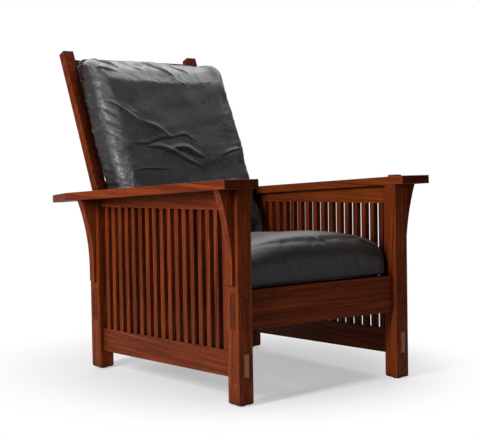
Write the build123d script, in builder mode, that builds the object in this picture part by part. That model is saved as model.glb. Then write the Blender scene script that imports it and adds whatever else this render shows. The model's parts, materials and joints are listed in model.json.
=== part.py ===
from build123d import *

import math
import os

# Mission reclining armchair, in millimetres.
# Ground frame: +Z up, +Y towards the back of the chair, +X to the sitter's left.
# The square joinery of the chair leans back a little on shorter rear legs, so every piece
# is drawn on planes of the chair's own frame: y runs rearwards from the front legs' front
# faces and z up from the front legs' feet.
# hand is -1 for the side at -X, named left, and +1 for the side at +X, named right.

# Legs
leg_size = 51.0
width_over_legs = 682.0
depth_over_legs = 778.0
frame_lean = 1.57
leg_edge = 1.5
foot_bevel = 4.0

# Glides under the legs
glide_height = 4.5
glide_radius = 14.0
glide_bevel = 1.5
glide_nail_radius = 1.6
glide_nail_length = 14.0

# Arms
arm_width = 123.0
arm_thickness = 26.0
arm_slope = 2.7
arm_seat_height = 606.0
arm_front_overhang = 35.0
arm_side_overhang = 68.5
arm_taper_offset = 34.0
arm_end_margin = 41.5
arm_rear_width = 37.0
arm_corner_radius = 4.0
arm_edge = 2.0

# Joinery
glue_gap = 0.1
tenon_proud = 4.5
tenon_bevel = 2.5
stub_length = 22.0
overrun = 20.0
arm_tenon_size = 30.0
arm_stub_height = 14.0

# Seat rails
seat_rail_thickness = 22.0
seat_rail_height = 112.0
front_rail_bottom = 208.5
rear_rail_bottom = 173.0
seat_tenon_thickness = 18.0
seat_tenon_shoulder = 6.0

# Side panels
side_rail_thickness = 22.0
side_rail_edge = 1.2
lower_rail_bottom = 74.0
lower_rail_height = 75.0
side_tenon_thickness = 19.0
lower_tenon_shoulder = 2.5
lower_rear_tenon = 40.0
upper_rail_drop = 59.0
upper_front_tenon_height = 36.0
upper_rear_tenon_height = 14.0
upper_tenon_rise = 5.0
spindle_size = 18.5
spindle_count = 17
spindle_housing = 8.0
spindle_edge = 1.0

# Corbels under the arms
corbel_thickness = 25.0
corbel_tenon_gap = 21.3
corbel_reach = 52.0
corbel_foot = 10.0
corbel_straight = 43.0
corbel_waist = 20.3
corbel_bevel = 4.0
corbel_plug_radius = 4.5
corbel_plug_depth = 5.0
corbel_plug_low = 48.0
corbel_plug_high = 140.0

# Pins and screws
pin_radius = 4.5
pin_length = 37.0
pin_proud = 0.6
seat_pin_spacing = 64.0
screw_radius = 2.2
screw_head_radius = 4.2
screw_head_height = 2.6
corbel_screw_grip = 24.0
cleat_screw_length = 42.0
slat_screw_length = 26.0
hinge_screw_length = 14.0

# Seat cleats and slats
seat_slope = 2.8
cleat_thickness = 22.0
cleat_height = 45.0
rear_cleat_depth = 16.0
rear_cleat_height = 40.0
rear_cleat_screw_length = 27.0
seat_slat_width = 56.0
seat_slat_thickness = 12.0
seat_slat_count = 8
seat_slat_end_gap = 0.5
seat_slat_start = 40.0
seat_slat_back_gap = 43.0
slat_screw_inset = 11.0
cleat_screw_drop = 24.0

# Back frame
back_angle = 22.8
recline_step = 7.0
recline_steps = 3
stile_width = 40.0
stile_depth = 32.0
stile_top = 847.0
stile_bottom = 6.0
stile_side_gap = 2.2
stile_edge = 1.5
bottom_rail_height = 60.0
bottom_rail_thickness = 22.0
top_slat_height = 76.0
top_slat_drop = 28.0
back_slat_height = 52.0
back_slat_count = 4
back_slat_thickness = 14.0
back_slat_bow = 20.0
back_slat_setback = 8.0
back_tenon_length = 15.0
back_tenon_shoulder = 3.0
slat_edge = 1.5

# Back hinges
hinge_offset = 150.0
hinge_length = 75.0
hinge_leaf_width = 24.0
hinge_leaf_thickness = 2.5
knuckle_radius = 4.5
knuckle_gap = 0.3
hinge_pin_radius = 2.2
hinge_pin_play = 0.05
hinge_screw_spacing = 50.0
hinge_screw_radius = 1.7
hinge_screw_head_radius = 3.2
hinge_screw_head_height = 1.5

# Support pegs
peg_radius = 10.0
peg_reach = 41.0
peg_end_radius = 4.0
peg_shank_radius = 6.5
peg_play = 0.1
peg_hole_depth = 30.0
peg_shank_length = 28.0
peg_stile_gap = 0.3

# Cushions
soft_gap = 0.4
seat_cushion_width = 572.0
seat_cushion_swell = 0.0
seat_cushion_back_gap = 52.0
seat_cushion_side = 88.0
seat_cushion_crown = 150.0
seat_cushion_corner = 38.0
seat_cushion_setback = 9.0
back_cushion_width = 492.0
back_cushion_swell = 36.0
back_cushion_start = 103.0
back_cushion_length = 703.0
back_cushion_side = 100.0
back_cushion_crown = 158.0
back_cushion_corner = 52.0

# Places that follow from the sizes above
lean = math.radians(frame_lean)
slope = math.radians(arm_slope)
leg_x = (width_over_legs - leg_size) / 2
leg_outer = width_over_legs / 2
leg_inner = leg_outer - leg_size
rear_leg_front = depth_over_legs - leg_size
front_leg_y = leg_size / 2
rear_leg_y = depth_over_legs - leg_size / 2
arm_outer = leg_outer + arm_side_overhang
arm_inner = arm_outer - arm_width
front_rail_top = front_rail_bottom + seat_rail_height
rear_rail_top = rear_rail_bottom + seat_rail_height
seat_tenon_height = seat_rail_height - seat_tenon_shoulder * 2
front_rail_front = front_leg_y - seat_rail_thickness / 2
front_rail_back = front_leg_y + seat_rail_thickness / 2
rear_rail_front = rear_leg_y - seat_rail_thickness / 2
rear_cleat_front = rear_rail_front - rear_cleat_depth
lower_rail_top = lower_rail_bottom + lower_rail_height
lower_tenon_height = lower_rail_height - lower_tenon_shoulder * 2
upper_rail_bottom = arm_seat_height - upper_rail_drop
panel_length = rear_leg_front - leg_size
spindle_pitch = (panel_length + spindle_size) / (spindle_count + 1)
panel_middle = (leg_size + rear_leg_front) / 2
hinge_y = rear_cleat_front - knuckle_radius - knuckle_gap
hinge_z = rear_rail_top + hinge_leaf_thickness
seat_run = (hinge_y - front_rail_front) / math.cos(math.radians(seat_slope))
seat_slat_end = seat_run - seat_slat_back_gap
seat_cushion_length = seat_run - seat_cushion_back_gap - seat_cushion_setback
stile_outer = arm_inner - stile_side_gap
stile_inner = stile_outer - stile_width
stile_x = stile_outer - stile_width / 2
stile_front = hinge_leaf_thickness + stile_depth
recline_range = recline_step * recline_steps
wood_screw = (screw_radius, screw_head_radius, screw_head_height)
hinge_screw = (hinge_screw_radius, hinge_screw_head_radius, hinge_screw_head_height)


def chair_to_ground(y, z):
    """Ground y and z of a point of the chair frame, before the chair is centred."""
    return (y * math.cos(lean) + z * math.sin(lean), z * math.cos(lean) - y * math.sin(lean))


def back_to_chair(along, out, angle):
    """Chair y and z of a point of the back: along the stile and out from the hinge line."""
    tilt = math.radians(angle)
    return (
        hinge_y + along * math.sin(tilt) - out * math.cos(tilt),
        hinge_z + along * math.cos(tilt) + out * math.sin(tilt),
    )


def chair_to_back(y, z, angle):
    """Distances along and out of the back, at that angle, of a chair point."""
    tilt = math.radians(angle)
    rise, run = z - hinge_z, y - hinge_y
    return (
        run * math.sin(tilt) + rise * math.cos(tilt),
        rise * math.sin(tilt) - run * math.cos(tilt),
    )


def arm_to_chair(along, up):
    """Chair y and z of a point of the arm: along its underside from y = 0, and up."""
    return (
        along * math.cos(slope) + up * math.sin(slope),
        arm_seat_height - along * math.sin(slope) + up * math.cos(slope),
    )


def peg_place(angle):
    """Distance along the arm of a peg that just meets the stile at this back angle."""
    middle = arm_thickness / 2
    wanted = hinge_leaf_thickness - peg_radius - peg_stile_gap
    start = chair_to_back(*arm_to_chair(0, middle), angle)[1]
    end = chair_to_back(*arm_to_chair(depth_over_legs, middle), angle)[1]
    return depth_over_legs * (wanted - start) / (end - start)


arm_taper_start = depth_over_legs + arm_taper_offset
arm_rear_reach = peg_place(back_angle + recline_range) + arm_end_margin


# The chair stands with the middle of its depth over the origin.
front_end = chair_to_ground(*arm_to_chair(-arm_front_overhang, 0))[0]
rear_end = chair_to_ground(*back_to_chair(stile_top, hinge_leaf_thickness, back_angle))[0]
depth_middle = (front_end + rear_end) / 2

chair = Plane(
    origin=(0, -depth_middle, glide_height),
    x_dir=(1, 0, 0),
    z_dir=(0, math.sin(lean), math.cos(lean)),
)
ground = Plane.XY.offset(glide_height)


def plan(z):
    """Plane square to the legs at height z: x sideways, y rearwards."""
    return chair.offset(z)


def front(y):
    """Plane facing the front at depth y: x sideways, then z."""
    return Plane(chair.from_local_coords((0, y, 0)), x_dir=chair.x_dir, z_dir=-chair.y_dir)


def side(x):
    """Plane facing +X at x: y rearwards, then z."""
    return Plane(chair.from_local_coords((x, 0, 0)), x_dir=chair.y_dir, z_dir=chair.x_dir)


def facing(hand, x, points):
    """Plane at x facing the side of that hand, and side view points put on it."""
    plane = Plane(
        chair.from_local_coords((x, 0, 0)), x_dir=chair.y_dir * hand, z_dir=chair.x_dir * hand
    )
    return plane, [(y * hand, z) for y, z in points]


def tilted(y, z, angle):
    """Plane through y, z of the chair whose top face looks up and back by this angle."""
    turn = math.radians(angle)
    normal = chair.z_dir * math.cos(turn) + chair.y_dir * math.sin(turn)
    return Plane(chair.from_local_coords((0, y, z)), x_dir=chair.x_dir, z_dir=normal)


def seat_height(y):
    """Height of the tops of the seat slats, level with the back edge of the front rail."""
    return front_rail_top - (y - front_rail_back) * math.tan(math.radians(seat_slope))


arm_under = tilted(0, arm_seat_height, arm_slope)
seat = tilted(front_rail_front, seat_height(front_rail_front), seat_slope)
seat_under = seat.offset(-seat_slat_thickness)
back = tilted(hinge_y, hinge_z, back_angle - 90)


def across(base, along):
    """Plane square to the length of a base plane: x sideways, then out of the base."""
    return Plane(
        base.from_local_coords((0, along, 0)), x_dir=base.x_dir, z_dir=-base.y_dir
    )


def bore(plane, points, radius, depth, cut=True):
    """Round holes, or the round pegs that fill them, going in behind a plane."""
    with BuildSketch(plane) as spots:
        with Locations(*points):
            Circle(radius)
    extrude(spots.sketch, amount=-depth, mode=Mode.SUBTRACT if cut else Mode.ADD)


def slot(plane, centre, size, depth):
    """Rectangular hole going in behind a plane."""
    with BuildSketch(plane) as spot:
        with Locations(centre):
            Rectangle(*size)
    extrude(spot.sketch, amount=-depth, mode=Mode.SUBTRACT)


def screws(plane, points, length, radius, head_radius, head_height, mode=Mode.ADD):
    """Countersunk screws whose heads are flush with a plane."""
    for point in points:
        with BuildSketch(plane) as rim:
            with Locations(point):
                Circle(head_radius)
        with BuildSketch(plane.offset(-head_height)) as neck:
            with Locations(point):
                Circle(radius)
        loft([rim.sketch.face(), neck.sketch.face()], mode=mode)
        extrude(neck.sketch, amount=head_height - length, mode=mode)


def screw_holes(plane, points, length, *head):
    """Countersunk holes that fit the same screws."""
    screws(plane, points, length, *head, mode=Mode.SUBTRACT)


def parallel(shape, direction):
    """Edges of a shape that run along a direction."""
    return shape.edges().filter_by(Axis((0, 0, 0), direction))


# Where the pins and screws go
seat_pin_rise = seat_pin_spacing / 2
front_rail_middle = front_rail_bottom + seat_rail_height / 2
rear_rail_middle = rear_rail_bottom + seat_rail_height / 2
lower_rail_middle = lower_rail_bottom + lower_rail_height / 2
front_screw_y = (front_rail_back + leg_size) / 2
rear_screw_y = (rear_leg_front + rear_rail_front) / 2
front_corbel_top = arm_seat_height - front_leg_y * math.tan(slope)
rear_corbel_top = arm_seat_height - rear_leg_y * math.tan(slope)
front_tenon_top = front_rail_middle + seat_tenon_height / 2
corbel_height = front_corbel_top - front_tenon_top - corbel_tenon_gap
lower_pin_spots = [(front_leg_y, lower_rail_middle), (rear_leg_y, lower_rail_middle)]


def seat_pin_points(hand, middle):
    return [(hand * leg_x, middle - seat_pin_rise), (hand * leg_x, middle + seat_pin_rise)]


def cleat_screw_spot(y):
    """Side view place of the screw that holds a side cleat to a leg."""
    return (y, seat_height(y) - seat_slat_thickness - cleat_screw_drop)


def corbel_edge(rise):
    """How far the corbel stands out from the leg at a rise above its straight foot."""
    run = corbel_height - corbel_straight
    half = run / 2
    chord = (corbel_reach - corbel_foot) / 2
    sag = corbel_foot + chord - corbel_waist
    radius = (half**2 + chord**2 + sag**2) / (2 * sag)
    middle = corbel_straight + half
    bow = math.sqrt(radius**2 - (rise - middle) ** 2) - (radius - sag)
    return corbel_foot + chord + chord * (rise - middle) / half - bow


def corbel_screw_seats(y, top):
    """Side view place, and distance from the chair's middle, of each corbel screw head."""
    foot = top - corbel_height
    return [
        ((y, foot + rise), leg_outer + corbel_edge(rise) - corbel_plug_depth)
        for rise in (corbel_plug_low, corbel_plug_high)
    ]


def leg_blank(hand, y):
    """Square post from the ground to the underside of the arm."""
    with BuildPart() as post:
        with BuildSketch(plan(0)) as section:
            with Locations((hand * leg_x, y)):
                Rectangle(leg_size, leg_size)
        extrude(amount=arm_seat_height + overrun)
        extrude(section.sketch, amount=-overrun)
        split(bisect_by=arm_under, keep=Keep.BOTTOM)
        split(bisect_by=ground, keep=Keep.TOP)
        chamfer(post.faces().sort_by(Axis.Z)[0].edges(), foot_bevel)
        fillet(parallel(post, chair.z_dir), leg_edge)
    return post.part


def glide_centre(hand, y):
    """Ground place of the glide under a leg."""
    spot = chair.from_local_coords((hand * leg_x, y, y * math.tan(lean)))
    return (spot.X, spot.Y)


def leg_side_bores(hand, y, corbel_top, cleat_screw_y):
    """Holes in a leg's outer face for a rail pin and corbel screws, and a cleat screw's."""
    seats = [spot for spot, head in corbel_screw_seats(y, corbel_top)]
    bore(*facing(hand, hand * leg_outer, [(y, lower_rail_middle)]), pin_radius, pin_length)
    bore(*facing(hand, hand * leg_outer, seats), screw_radius, corbel_screw_grip)
    bore(*facing(-hand, hand * leg_inner, [cleat_screw_spot(cleat_screw_y)]), screw_radius,
         cleat_screw_length - cleat_thickness)


def front_leg(hand):
    """Front leg: a tenon through the arm, two through mortises and one blind one."""
    with BuildPart() as leg:
        add(leg_blank(hand, front_leg_y))
        with BuildSketch(plan(arm_seat_height - overrun)):
            with Locations((hand * leg_x, front_leg_y)):
                Rectangle(arm_tenon_size, arm_tenon_size)
        extrude(amount=overrun + arm_thickness + tenon_proud)
        chamfer(leg.faces().sort_by(Axis.Z)[-1].edges(), tenon_bevel)
        slot(
            side(leg_outer + overrun),
            (front_leg_y, front_rail_middle),
            (seat_tenon_thickness + glue_gap * 2, seat_tenon_height + glue_gap * 2),
            (leg_outer + overrun) * 2,
        )
        slot(
            front(-overrun),
            (hand * leg_x, lower_rail_middle),
            (side_tenon_thickness + glue_gap * 2, lower_tenon_height + glue_gap * 2),
            leg_size + overrun * 2,
        )
        slot(
            front(leg_size - stub_length - glue_gap),
            (hand * leg_x, upper_rail_bottom + upper_tenon_rise + upper_front_tenon_height / 2),
            (side_tenon_thickness + glue_gap * 2, upper_front_tenon_height + glue_gap * 2),
            stub_length + overrun,
        )
        bore(front(0), seat_pin_points(hand, front_rail_middle), pin_radius, pin_length)
        leg_side_bores(hand, front_leg_y, front_corbel_top, front_screw_y)
        bore(ground, [glide_centre(hand, front_leg_y)], glide_nail_radius, -glide_nail_length)
    return leg


def rear_leg(hand):
    """Rear leg: a stub tenon into the arm, one through mortise and two blind ones."""
    with BuildPart() as leg:
        add(leg_blank(hand, rear_leg_y))
        with BuildSketch(plan(rear_corbel_top - overrun)):
            with Locations((hand * leg_x, rear_leg_y)):
                Rectangle(arm_tenon_size, arm_tenon_size)
        extrude(amount=overrun + arm_stub_height)
        slot(
            side(leg_outer + overrun),
            (rear_leg_y, rear_rail_middle),
            (seat_tenon_thickness + glue_gap * 2, seat_tenon_height + glue_gap * 2),
            (leg_outer + overrun) * 2,
        )
        slot(
            front(rear_leg_front - overrun),
            (hand * leg_x, lower_rail_middle),
            (side_tenon_thickness + glue_gap * 2, lower_tenon_height + glue_gap * 2),
            lower_rear_tenon + overrun + glue_gap,
        )
        slot(
            front(rear_leg_front - overrun),
            (hand * leg_x, upper_rail_bottom + upper_tenon_rise + upper_rear_tenon_height / 2),
            (side_tenon_thickness + glue_gap * 2, upper_rear_tenon_height + glue_gap * 2),
            stub_length + overrun + glue_gap,
        )
        bore(front(depth_over_legs), seat_pin_points(hand, rear_rail_middle), pin_radius,
             -pin_length)
        leg_side_bores(hand, rear_leg_y, rear_corbel_top, rear_screw_y)
        bore(ground, [glide_centre(hand, rear_leg_y)], glide_nail_radius, -glide_nail_length)
    return leg


def back_side(x):
    """Plane facing +X at x on the back: along the stile, then out to the front."""
    return Plane(back.from_local_coords((x, 0, 0)), x_dir=back.y_dir, z_dir=back.x_dir)


# The back frame's rear face, seen from behind
back_face = Plane(back.origin, x_dir=-back.x_dir, z_dir=-back.z_dir)


def arm(hand):
    """Plank arm, tapered behind the rear leg, with a row of peg holes in its inner edge."""
    with BuildPart() as plank:
        with BuildSketch(arm_under) as outline:
            with BuildLine():
                Polyline(
                    (hand * arm_inner, -arm_front_overhang),
                    (hand * arm_outer, -arm_front_overhang),
                    (hand * arm_outer, arm_taper_start),
                    (hand * (arm_inner + arm_rear_width), arm_rear_reach),
                    (hand * arm_inner, arm_rear_reach),
                    close=True,
                )
            make_face()
            fillet(outline.vertices(), arm_corner_radius)
        extrude(amount=arm_thickness)
        rims = plank.faces().filter_by(Axis((0, 0, 0), arm_under.z_dir)).edges()
        fillet(rims, arm_edge)
        slot(
            plan(arm_seat_height + overrun * 2),
            (hand * leg_x, front_leg_y),
            (arm_tenon_size + glue_gap * 2, arm_tenon_size + glue_gap * 2),
            overrun * 4,
        )
        slot(
            plan(rear_corbel_top - overrun),
            (hand * leg_x, rear_leg_y),
            (arm_tenon_size + glue_gap * 2, arm_tenon_size + glue_gap * 2),
            -(overrun + arm_stub_height + glue_gap),
        )
        holes = [
            arm_to_chair(peg_place(back_angle + recline_step * step), arm_thickness / 2)
            for step in range(recline_steps + 1)
        ]
        bore(*facing(-hand, hand * arm_inner, holes), peg_shank_radius + peg_play,
             peg_hole_depth)
    return plank


def corbel(hand, y, top):
    """Curved bracket under the arm, screwed to the middle of the leg's outer face."""
    foot = top - corbel_height
    half_run = (corbel_height - corbel_straight) / 2
    with BuildPart() as bracket:
        with BuildSketch(front(y - corbel_thickness / 2)):
            with BuildLine():
                Polyline(
                    (hand * (leg_outer + corbel_reach), top),
                    (hand * (leg_outer + corbel_reach), top + overrun),
                    (hand * leg_outer, top + overrun),
                    (hand * leg_outer, foot),
                    (hand * (leg_outer + corbel_foot - corbel_bevel), foot),
                    (hand * (leg_outer + corbel_foot), foot + corbel_bevel),
                    (hand * (leg_outer + corbel_foot), foot + corbel_straight),
                )
                ThreePointArc(
                    (hand * (leg_outer + corbel_foot), foot + corbel_straight),
                    (hand * (leg_outer + corbel_waist), foot + corbel_straight + half_run),
                    (hand * (leg_outer + corbel_reach), top),
                )
            make_face()
        extrude(amount=-corbel_thickness)
        split(bisect_by=arm_under, keep=Keep.BOTTOM)
        for spot, head in corbel_screw_seats(y, top):
            bore(*facing(hand, hand * head, [spot]), corbel_plug_radius, -corbel_reach)
            screw_holes(*facing(hand, hand * head, [spot]), head - leg_outer, *wood_screw)
    return bracket


corbel_places = [
    (hand, spot, head)
    for hand in (-1, 1)
    for y, top in ((front_leg_y, front_corbel_top), (rear_leg_y, rear_corbel_top))
    for spot, head in corbel_screw_seats(y, top)
]


def corbel_screws():
    """The screws that hold the corbels to the legs."""
    with BuildPart() as metal:
        for hand, spot, head in corbel_places:
            screws(*facing(hand, hand * head, [spot]), head - leg_outer + corbel_screw_grip,
                   *wood_screw)
    return metal


def corbel_plugs():
    """Wooden plugs that cover the corbel screws."""
    with BuildPart() as wood:
        for hand, spot, head in corbel_places:
            bore(*facing(hand, hand * head, [spot]), corbel_plug_radius,
                 -corbel_plug_depth - pin_proud, cut=False)
    return wood


def seat_rail(middle_y, middle_z, pin_face, pin_depth):
    """Seat rail between two legs, with a through tenon at each end."""
    with BuildPart() as rail:
        with BuildSketch(front(middle_y - seat_tenon_thickness / 2)):
            with Locations((0, middle_z)):
                Rectangle((leg_outer + tenon_proud) * 2, seat_tenon_height)
        extrude(amount=-seat_tenon_thickness)
        chamfer(rail.faces().sort_by(Axis.X)[-1].edges(), tenon_bevel)
        chamfer(rail.faces().sort_by(Axis.X)[0].edges(), tenon_bevel)
        with BuildSketch(front(middle_y - seat_rail_thickness / 2)):
            with Locations((0, middle_z)):
                Rectangle(leg_inner * 2, seat_rail_height)
        extrude(amount=-seat_rail_thickness)
        long_edges = parallel(rail, chair.x_dir).filter_by(lambda edge: edge.length > leg_inner)
        fillet(long_edges.group_by(Axis.Z)[-1] + long_edges.group_by(Axis.Z)[0], leg_edge)
        for hand in (-1, 1):
            bore(front(pin_face), seat_pin_points(hand, middle_z), pin_radius, pin_depth)
    return rail


def rear_seat_rail():
    """Rear seat rail, with holes for the screws of the rear cleat."""
    with BuildPart() as rail:
        add(seat_rail(rear_leg_y, rear_rail_middle, depth_over_legs, -pin_length).part)
        bore(front(rear_cleat_front), rear_cleat_screw_points(), screw_radius,
             rear_cleat_screw_length)
    return rail


def spindle_row(hand, z, size, height):
    """Square spindles of one side, or their housings, standing on height z."""
    with BuildSketch(plan(z)) as row:
        with Locations((hand * leg_x, panel_middle)):
            with GridLocations(spindle_pitch, spindle_pitch, 1, spindle_count):
                Rectangle(size, size)
        fillet(row.vertices(), spindle_edge)
    return row.sketch, height


def lower_side_rail(hand):
    """Lower side rail: a through tenon at the front leg and a long blind one behind."""
    with BuildPart() as rail:
        with BuildSketch(side(hand * leg_x - side_tenon_thickness / 2)):
            with Locations(((rear_leg_front + lower_rear_tenon - tenon_proud) / 2,
                            lower_rail_middle)):
                Rectangle(rear_leg_front + lower_rear_tenon + tenon_proud, lower_tenon_height)
        extrude(amount=side_tenon_thickness)
        chamfer(rail.faces().sort_by(Axis.Y)[0].edges(), tenon_bevel)
        with BuildSketch(side(hand * leg_x - side_rail_thickness / 2)):
            with Locations((panel_middle, lower_rail_middle)):
                Rectangle(panel_length, lower_rail_height)
        extrude(amount=side_rail_thickness)
        long_edges = parallel(rail, chair.y_dir).filter_by(lambda e: e.length > panel_length - 1)
        fillet(long_edges, side_rail_edge)
        rows, depth = spindle_row(hand, lower_rail_top, spindle_size + glue_gap * 2,
                                  -spindle_housing - glue_gap)
        extrude(rows, amount=depth, mode=Mode.SUBTRACT)
        bore(*facing(hand, hand * leg_outer, lower_pin_spots), pin_radius, pin_length)
    return rail


def upper_side_rail(hand):
    """Upper side rail: level below, its top following the slope of the arm."""
    front_tenon_middle = upper_rail_bottom + upper_tenon_rise + upper_front_tenon_height / 2
    rear_tenon_middle = upper_rail_bottom + upper_tenon_rise + upper_rear_tenon_height / 2
    with BuildPart() as rail:
        with BuildSketch(side(hand * leg_x - side_rail_thickness / 2)):
            with Locations((panel_middle, upper_rail_bottom + overrun * 2)):
                Rectangle(panel_length, overrun * 4)
        extrude(amount=side_rail_thickness)
        split(bisect_by=arm_under, keep=Keep.BOTTOM)
        split(bisect_by=plan(upper_rail_bottom), keep=Keep.TOP)
        with BuildSketch(side(hand * leg_x - side_tenon_thickness / 2)):
            with Locations((leg_size, front_tenon_middle)):
                Rectangle(stub_length * 2, upper_front_tenon_height)
            with Locations((rear_leg_front, rear_tenon_middle)):
                Rectangle(stub_length * 2, upper_rear_tenon_height)
        extrude(amount=side_tenon_thickness)
        rows, depth = spindle_row(hand, upper_rail_bottom, spindle_size + glue_gap * 2,
                                  spindle_housing + glue_gap)
        extrude(rows, amount=depth, mode=Mode.SUBTRACT)
    return rail


def spindles(hand):
    """The row of square spindles of one side."""
    length = upper_rail_bottom - lower_rail_top + spindle_housing * 2
    rows, depth = spindle_row(hand, lower_rail_top - spindle_housing, spindle_size, length)
    with BuildPart() as bars:
        extrude(rows, amount=depth)
    return bars


def joint_pins():
    """Wooden pins through the tenons of the seat rails and the lower side rails."""
    with BuildPart() as pins:
        for hand in (-1, 1):
            bore(front(-pin_proud), seat_pin_points(hand, front_rail_middle), pin_radius,
                 pin_length + pin_proud, cut=False)
            bore(front(depth_over_legs + pin_proud), seat_pin_points(hand, rear_rail_middle),
                 pin_radius, -pin_length - pin_proud, cut=False)
            bore(*facing(hand, hand * (leg_outer + pin_proud), lower_pin_spots), pin_radius,
                 pin_length + pin_proud, cut=False)
    return pins


def leg_glides():
    """Nail-on glides that the legs stand on."""
    spots = [glide_centre(hand, y) for hand in (-1, 1) for y in (front_leg_y, rear_leg_y)]
    with BuildPart() as glides:
        bore(ground, spots, glide_radius, glide_height, cut=False)
        feet = glides.edges().group_by(Axis.Z)[0]
        chamfer(feet, glide_bevel)
        bore(ground, spots, glide_nail_radius, -glide_nail_length, cut=False)
    return glides


def side_cleat(hand):
    """Sloping cleat inside the legs that carries the ends of the seat slats."""
    with BuildPart() as cleat:
        with BuildSketch(side(hand * (leg_inner - cleat_thickness / 2) - cleat_thickness / 2)):
            with Locations(((front_rail_back + rear_rail_front) / 2, front_rail_middle)):
                Rectangle(rear_rail_front - front_rail_back, seat_rail_height * 2)
        extrude(amount=cleat_thickness)
        split(bisect_by=seat_under, keep=Keep.BOTTOM)
        split(bisect_by=seat_under.offset(-cleat_height), keep=Keep.TOP)
        screw_holes(*cleat_screw_face(hand), cleat_thickness, *wood_screw)
        screw_holes(seat, slat_screw_points(hand), slat_screw_length, *wood_screw)
    return cleat


def cleat_screw_face(hand):
    """Inner face of a side cleat, and where its two screws are."""
    spots = [cleat_screw_spot(front_screw_y), cleat_screw_spot(rear_screw_y)]
    return facing(-hand, hand * (leg_inner - cleat_thickness), spots)


def slat_middles():
    """Distance of each seat slat along the seat plane."""
    first = seat_slat_start + seat_slat_width / 2
    last = seat_slat_end - seat_slat_width / 2
    step = (last - first) / (seat_slat_count - 1)
    return [first + step * index for index in range(seat_slat_count)]


def slat_screw_points(hand):
    return [(hand * (leg_inner - slat_screw_inset), middle) for middle in slat_middles()]


def rear_cleat():
    """Cleat on the rear seat rail that carries the hinges of the back."""
    width = (leg_inner - cleat_thickness) * 2
    with BuildPart() as cleat:
        with BuildSketch(front(rear_cleat_front)):
            with Locations((0, rear_rail_top - rear_cleat_height / 2)):
                Rectangle(width, rear_cleat_height)
        extrude(amount=-rear_cleat_depth)
        screw_holes(front(rear_cleat_front), rear_cleat_screw_points(), rear_cleat_depth,
                    *wood_screw)
        screw_holes(plan(hinge_z), fixed_hinge_screw_points(), hinge_screw_length, *hinge_screw)
    return cleat


def rear_cleat_screw_points():
    z = rear_rail_top - rear_cleat_height / 2
    return [(x, z) for x in (-hinge_offset * 3 / 2, 0, hinge_offset * 3 / 2)]


def fixed_hinge_screw_points():
    y = rear_cleat_front + rear_cleat_depth / 2
    half = hinge_screw_spacing / 2
    return [(hand * hinge_offset + shift, y) for hand in (-1, 1) for shift in (-half, half)]


def moving_hinge_screw_points():
    half = hinge_screw_spacing / 2
    middle = (knuckle_radius + knuckle_gap + hinge_leaf_width) / 2
    return [(hand * hinge_offset + shift, middle) for hand in (-1, 1) for shift in (-half, half)]


def seat_slat(middle):
    """One slat of the seat deck."""
    with BuildPart() as slat:
        with BuildSketch(seat):
            with Locations((0, middle)):
                Rectangle((leg_inner - seat_slat_end_gap) * 2, seat_slat_width)
        extrude(amount=-seat_slat_thickness)
        fillet(parallel(slat, seat.x_dir), slat_edge)
        points = [(x, y) for hand in (-1, 1) for x, y in slat_screw_points(hand) if y == middle]
        screw_holes(seat, points, seat_slat_thickness, *wood_screw)
    return slat


def cleat_screws():
    """Screws that hold the seat cleats."""
    with BuildPart() as metal:
        for hand in (-1, 1):
            screws(*cleat_screw_face(hand), cleat_screw_length, *wood_screw)
        screws(front(rear_cleat_front), rear_cleat_screw_points(), rear_cleat_screw_length,
               *wood_screw)
    return metal


def slat_screws():
    """Screws that hold the seat slats."""
    with BuildPart() as metal:
        for hand in (-1, 1):
            screws(seat, slat_screw_points(hand), slat_screw_length, *wood_screw)
    return metal


# Rungs of the back: how far up each starts, and how tall it is
top_slat_start = stile_top - top_slat_drop - top_slat_height
ladder_gap = (top_slat_start - stile_bottom - bottom_rail_height
              - back_slat_count * back_slat_height) / (back_slat_count + 1)
slat_starts = [
    stile_bottom + bottom_rail_height + ladder_gap + (ladder_gap + back_slat_height) * index
    for index in range(back_slat_count)
]
slat_front = stile_front - back_slat_setback
slat_middle = slat_front - back_slat_thickness / 2
rail_middle = hinge_leaf_thickness + bottom_rail_thickness / 2
rungs = [(stile_bottom, bottom_rail_height, rail_middle, bottom_rail_thickness)]
rungs += [(start, back_slat_height, slat_middle, back_slat_thickness) for start in slat_starts]
rungs += [(top_slat_start, top_slat_height, slat_middle, back_slat_thickness)]


def back_stile(hand):
    """Upright of the back frame, with a mortise for each slat."""
    with BuildPart() as stile:
        with BuildSketch(across(back, stile_bottom)) as section:
            with Locations((hand * stile_x, hinge_leaf_thickness + stile_depth / 2)):
                Rectangle(stile_width, stile_depth)
            fillet(section.vertices(), stile_edge)
        extrude(amount=stile_bottom - stile_top)
        for start, height, middle, thickness in rungs:
            slot(
                back_side(hand * stile_inner),
                (start + height / 2, middle),
                (height - back_tenon_shoulder * 2 + glue_gap * 2,
                 thickness - back_tenon_shoulder * 2 + glue_gap * 2),
                -hand * (back_tenon_length + glue_gap),
            )
    return stile


def rung_tenons(start, height, middle, thickness):
    """The two stub tenons of a slat or rail, one long bar through it."""
    with BuildSketch(back_side(-stile_inner - back_tenon_length)) as end:
        with Locations((start + height / 2, middle)):
            Rectangle(height - back_tenon_shoulder * 2, thickness - back_tenon_shoulder * 2)
    return end.sketch


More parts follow.
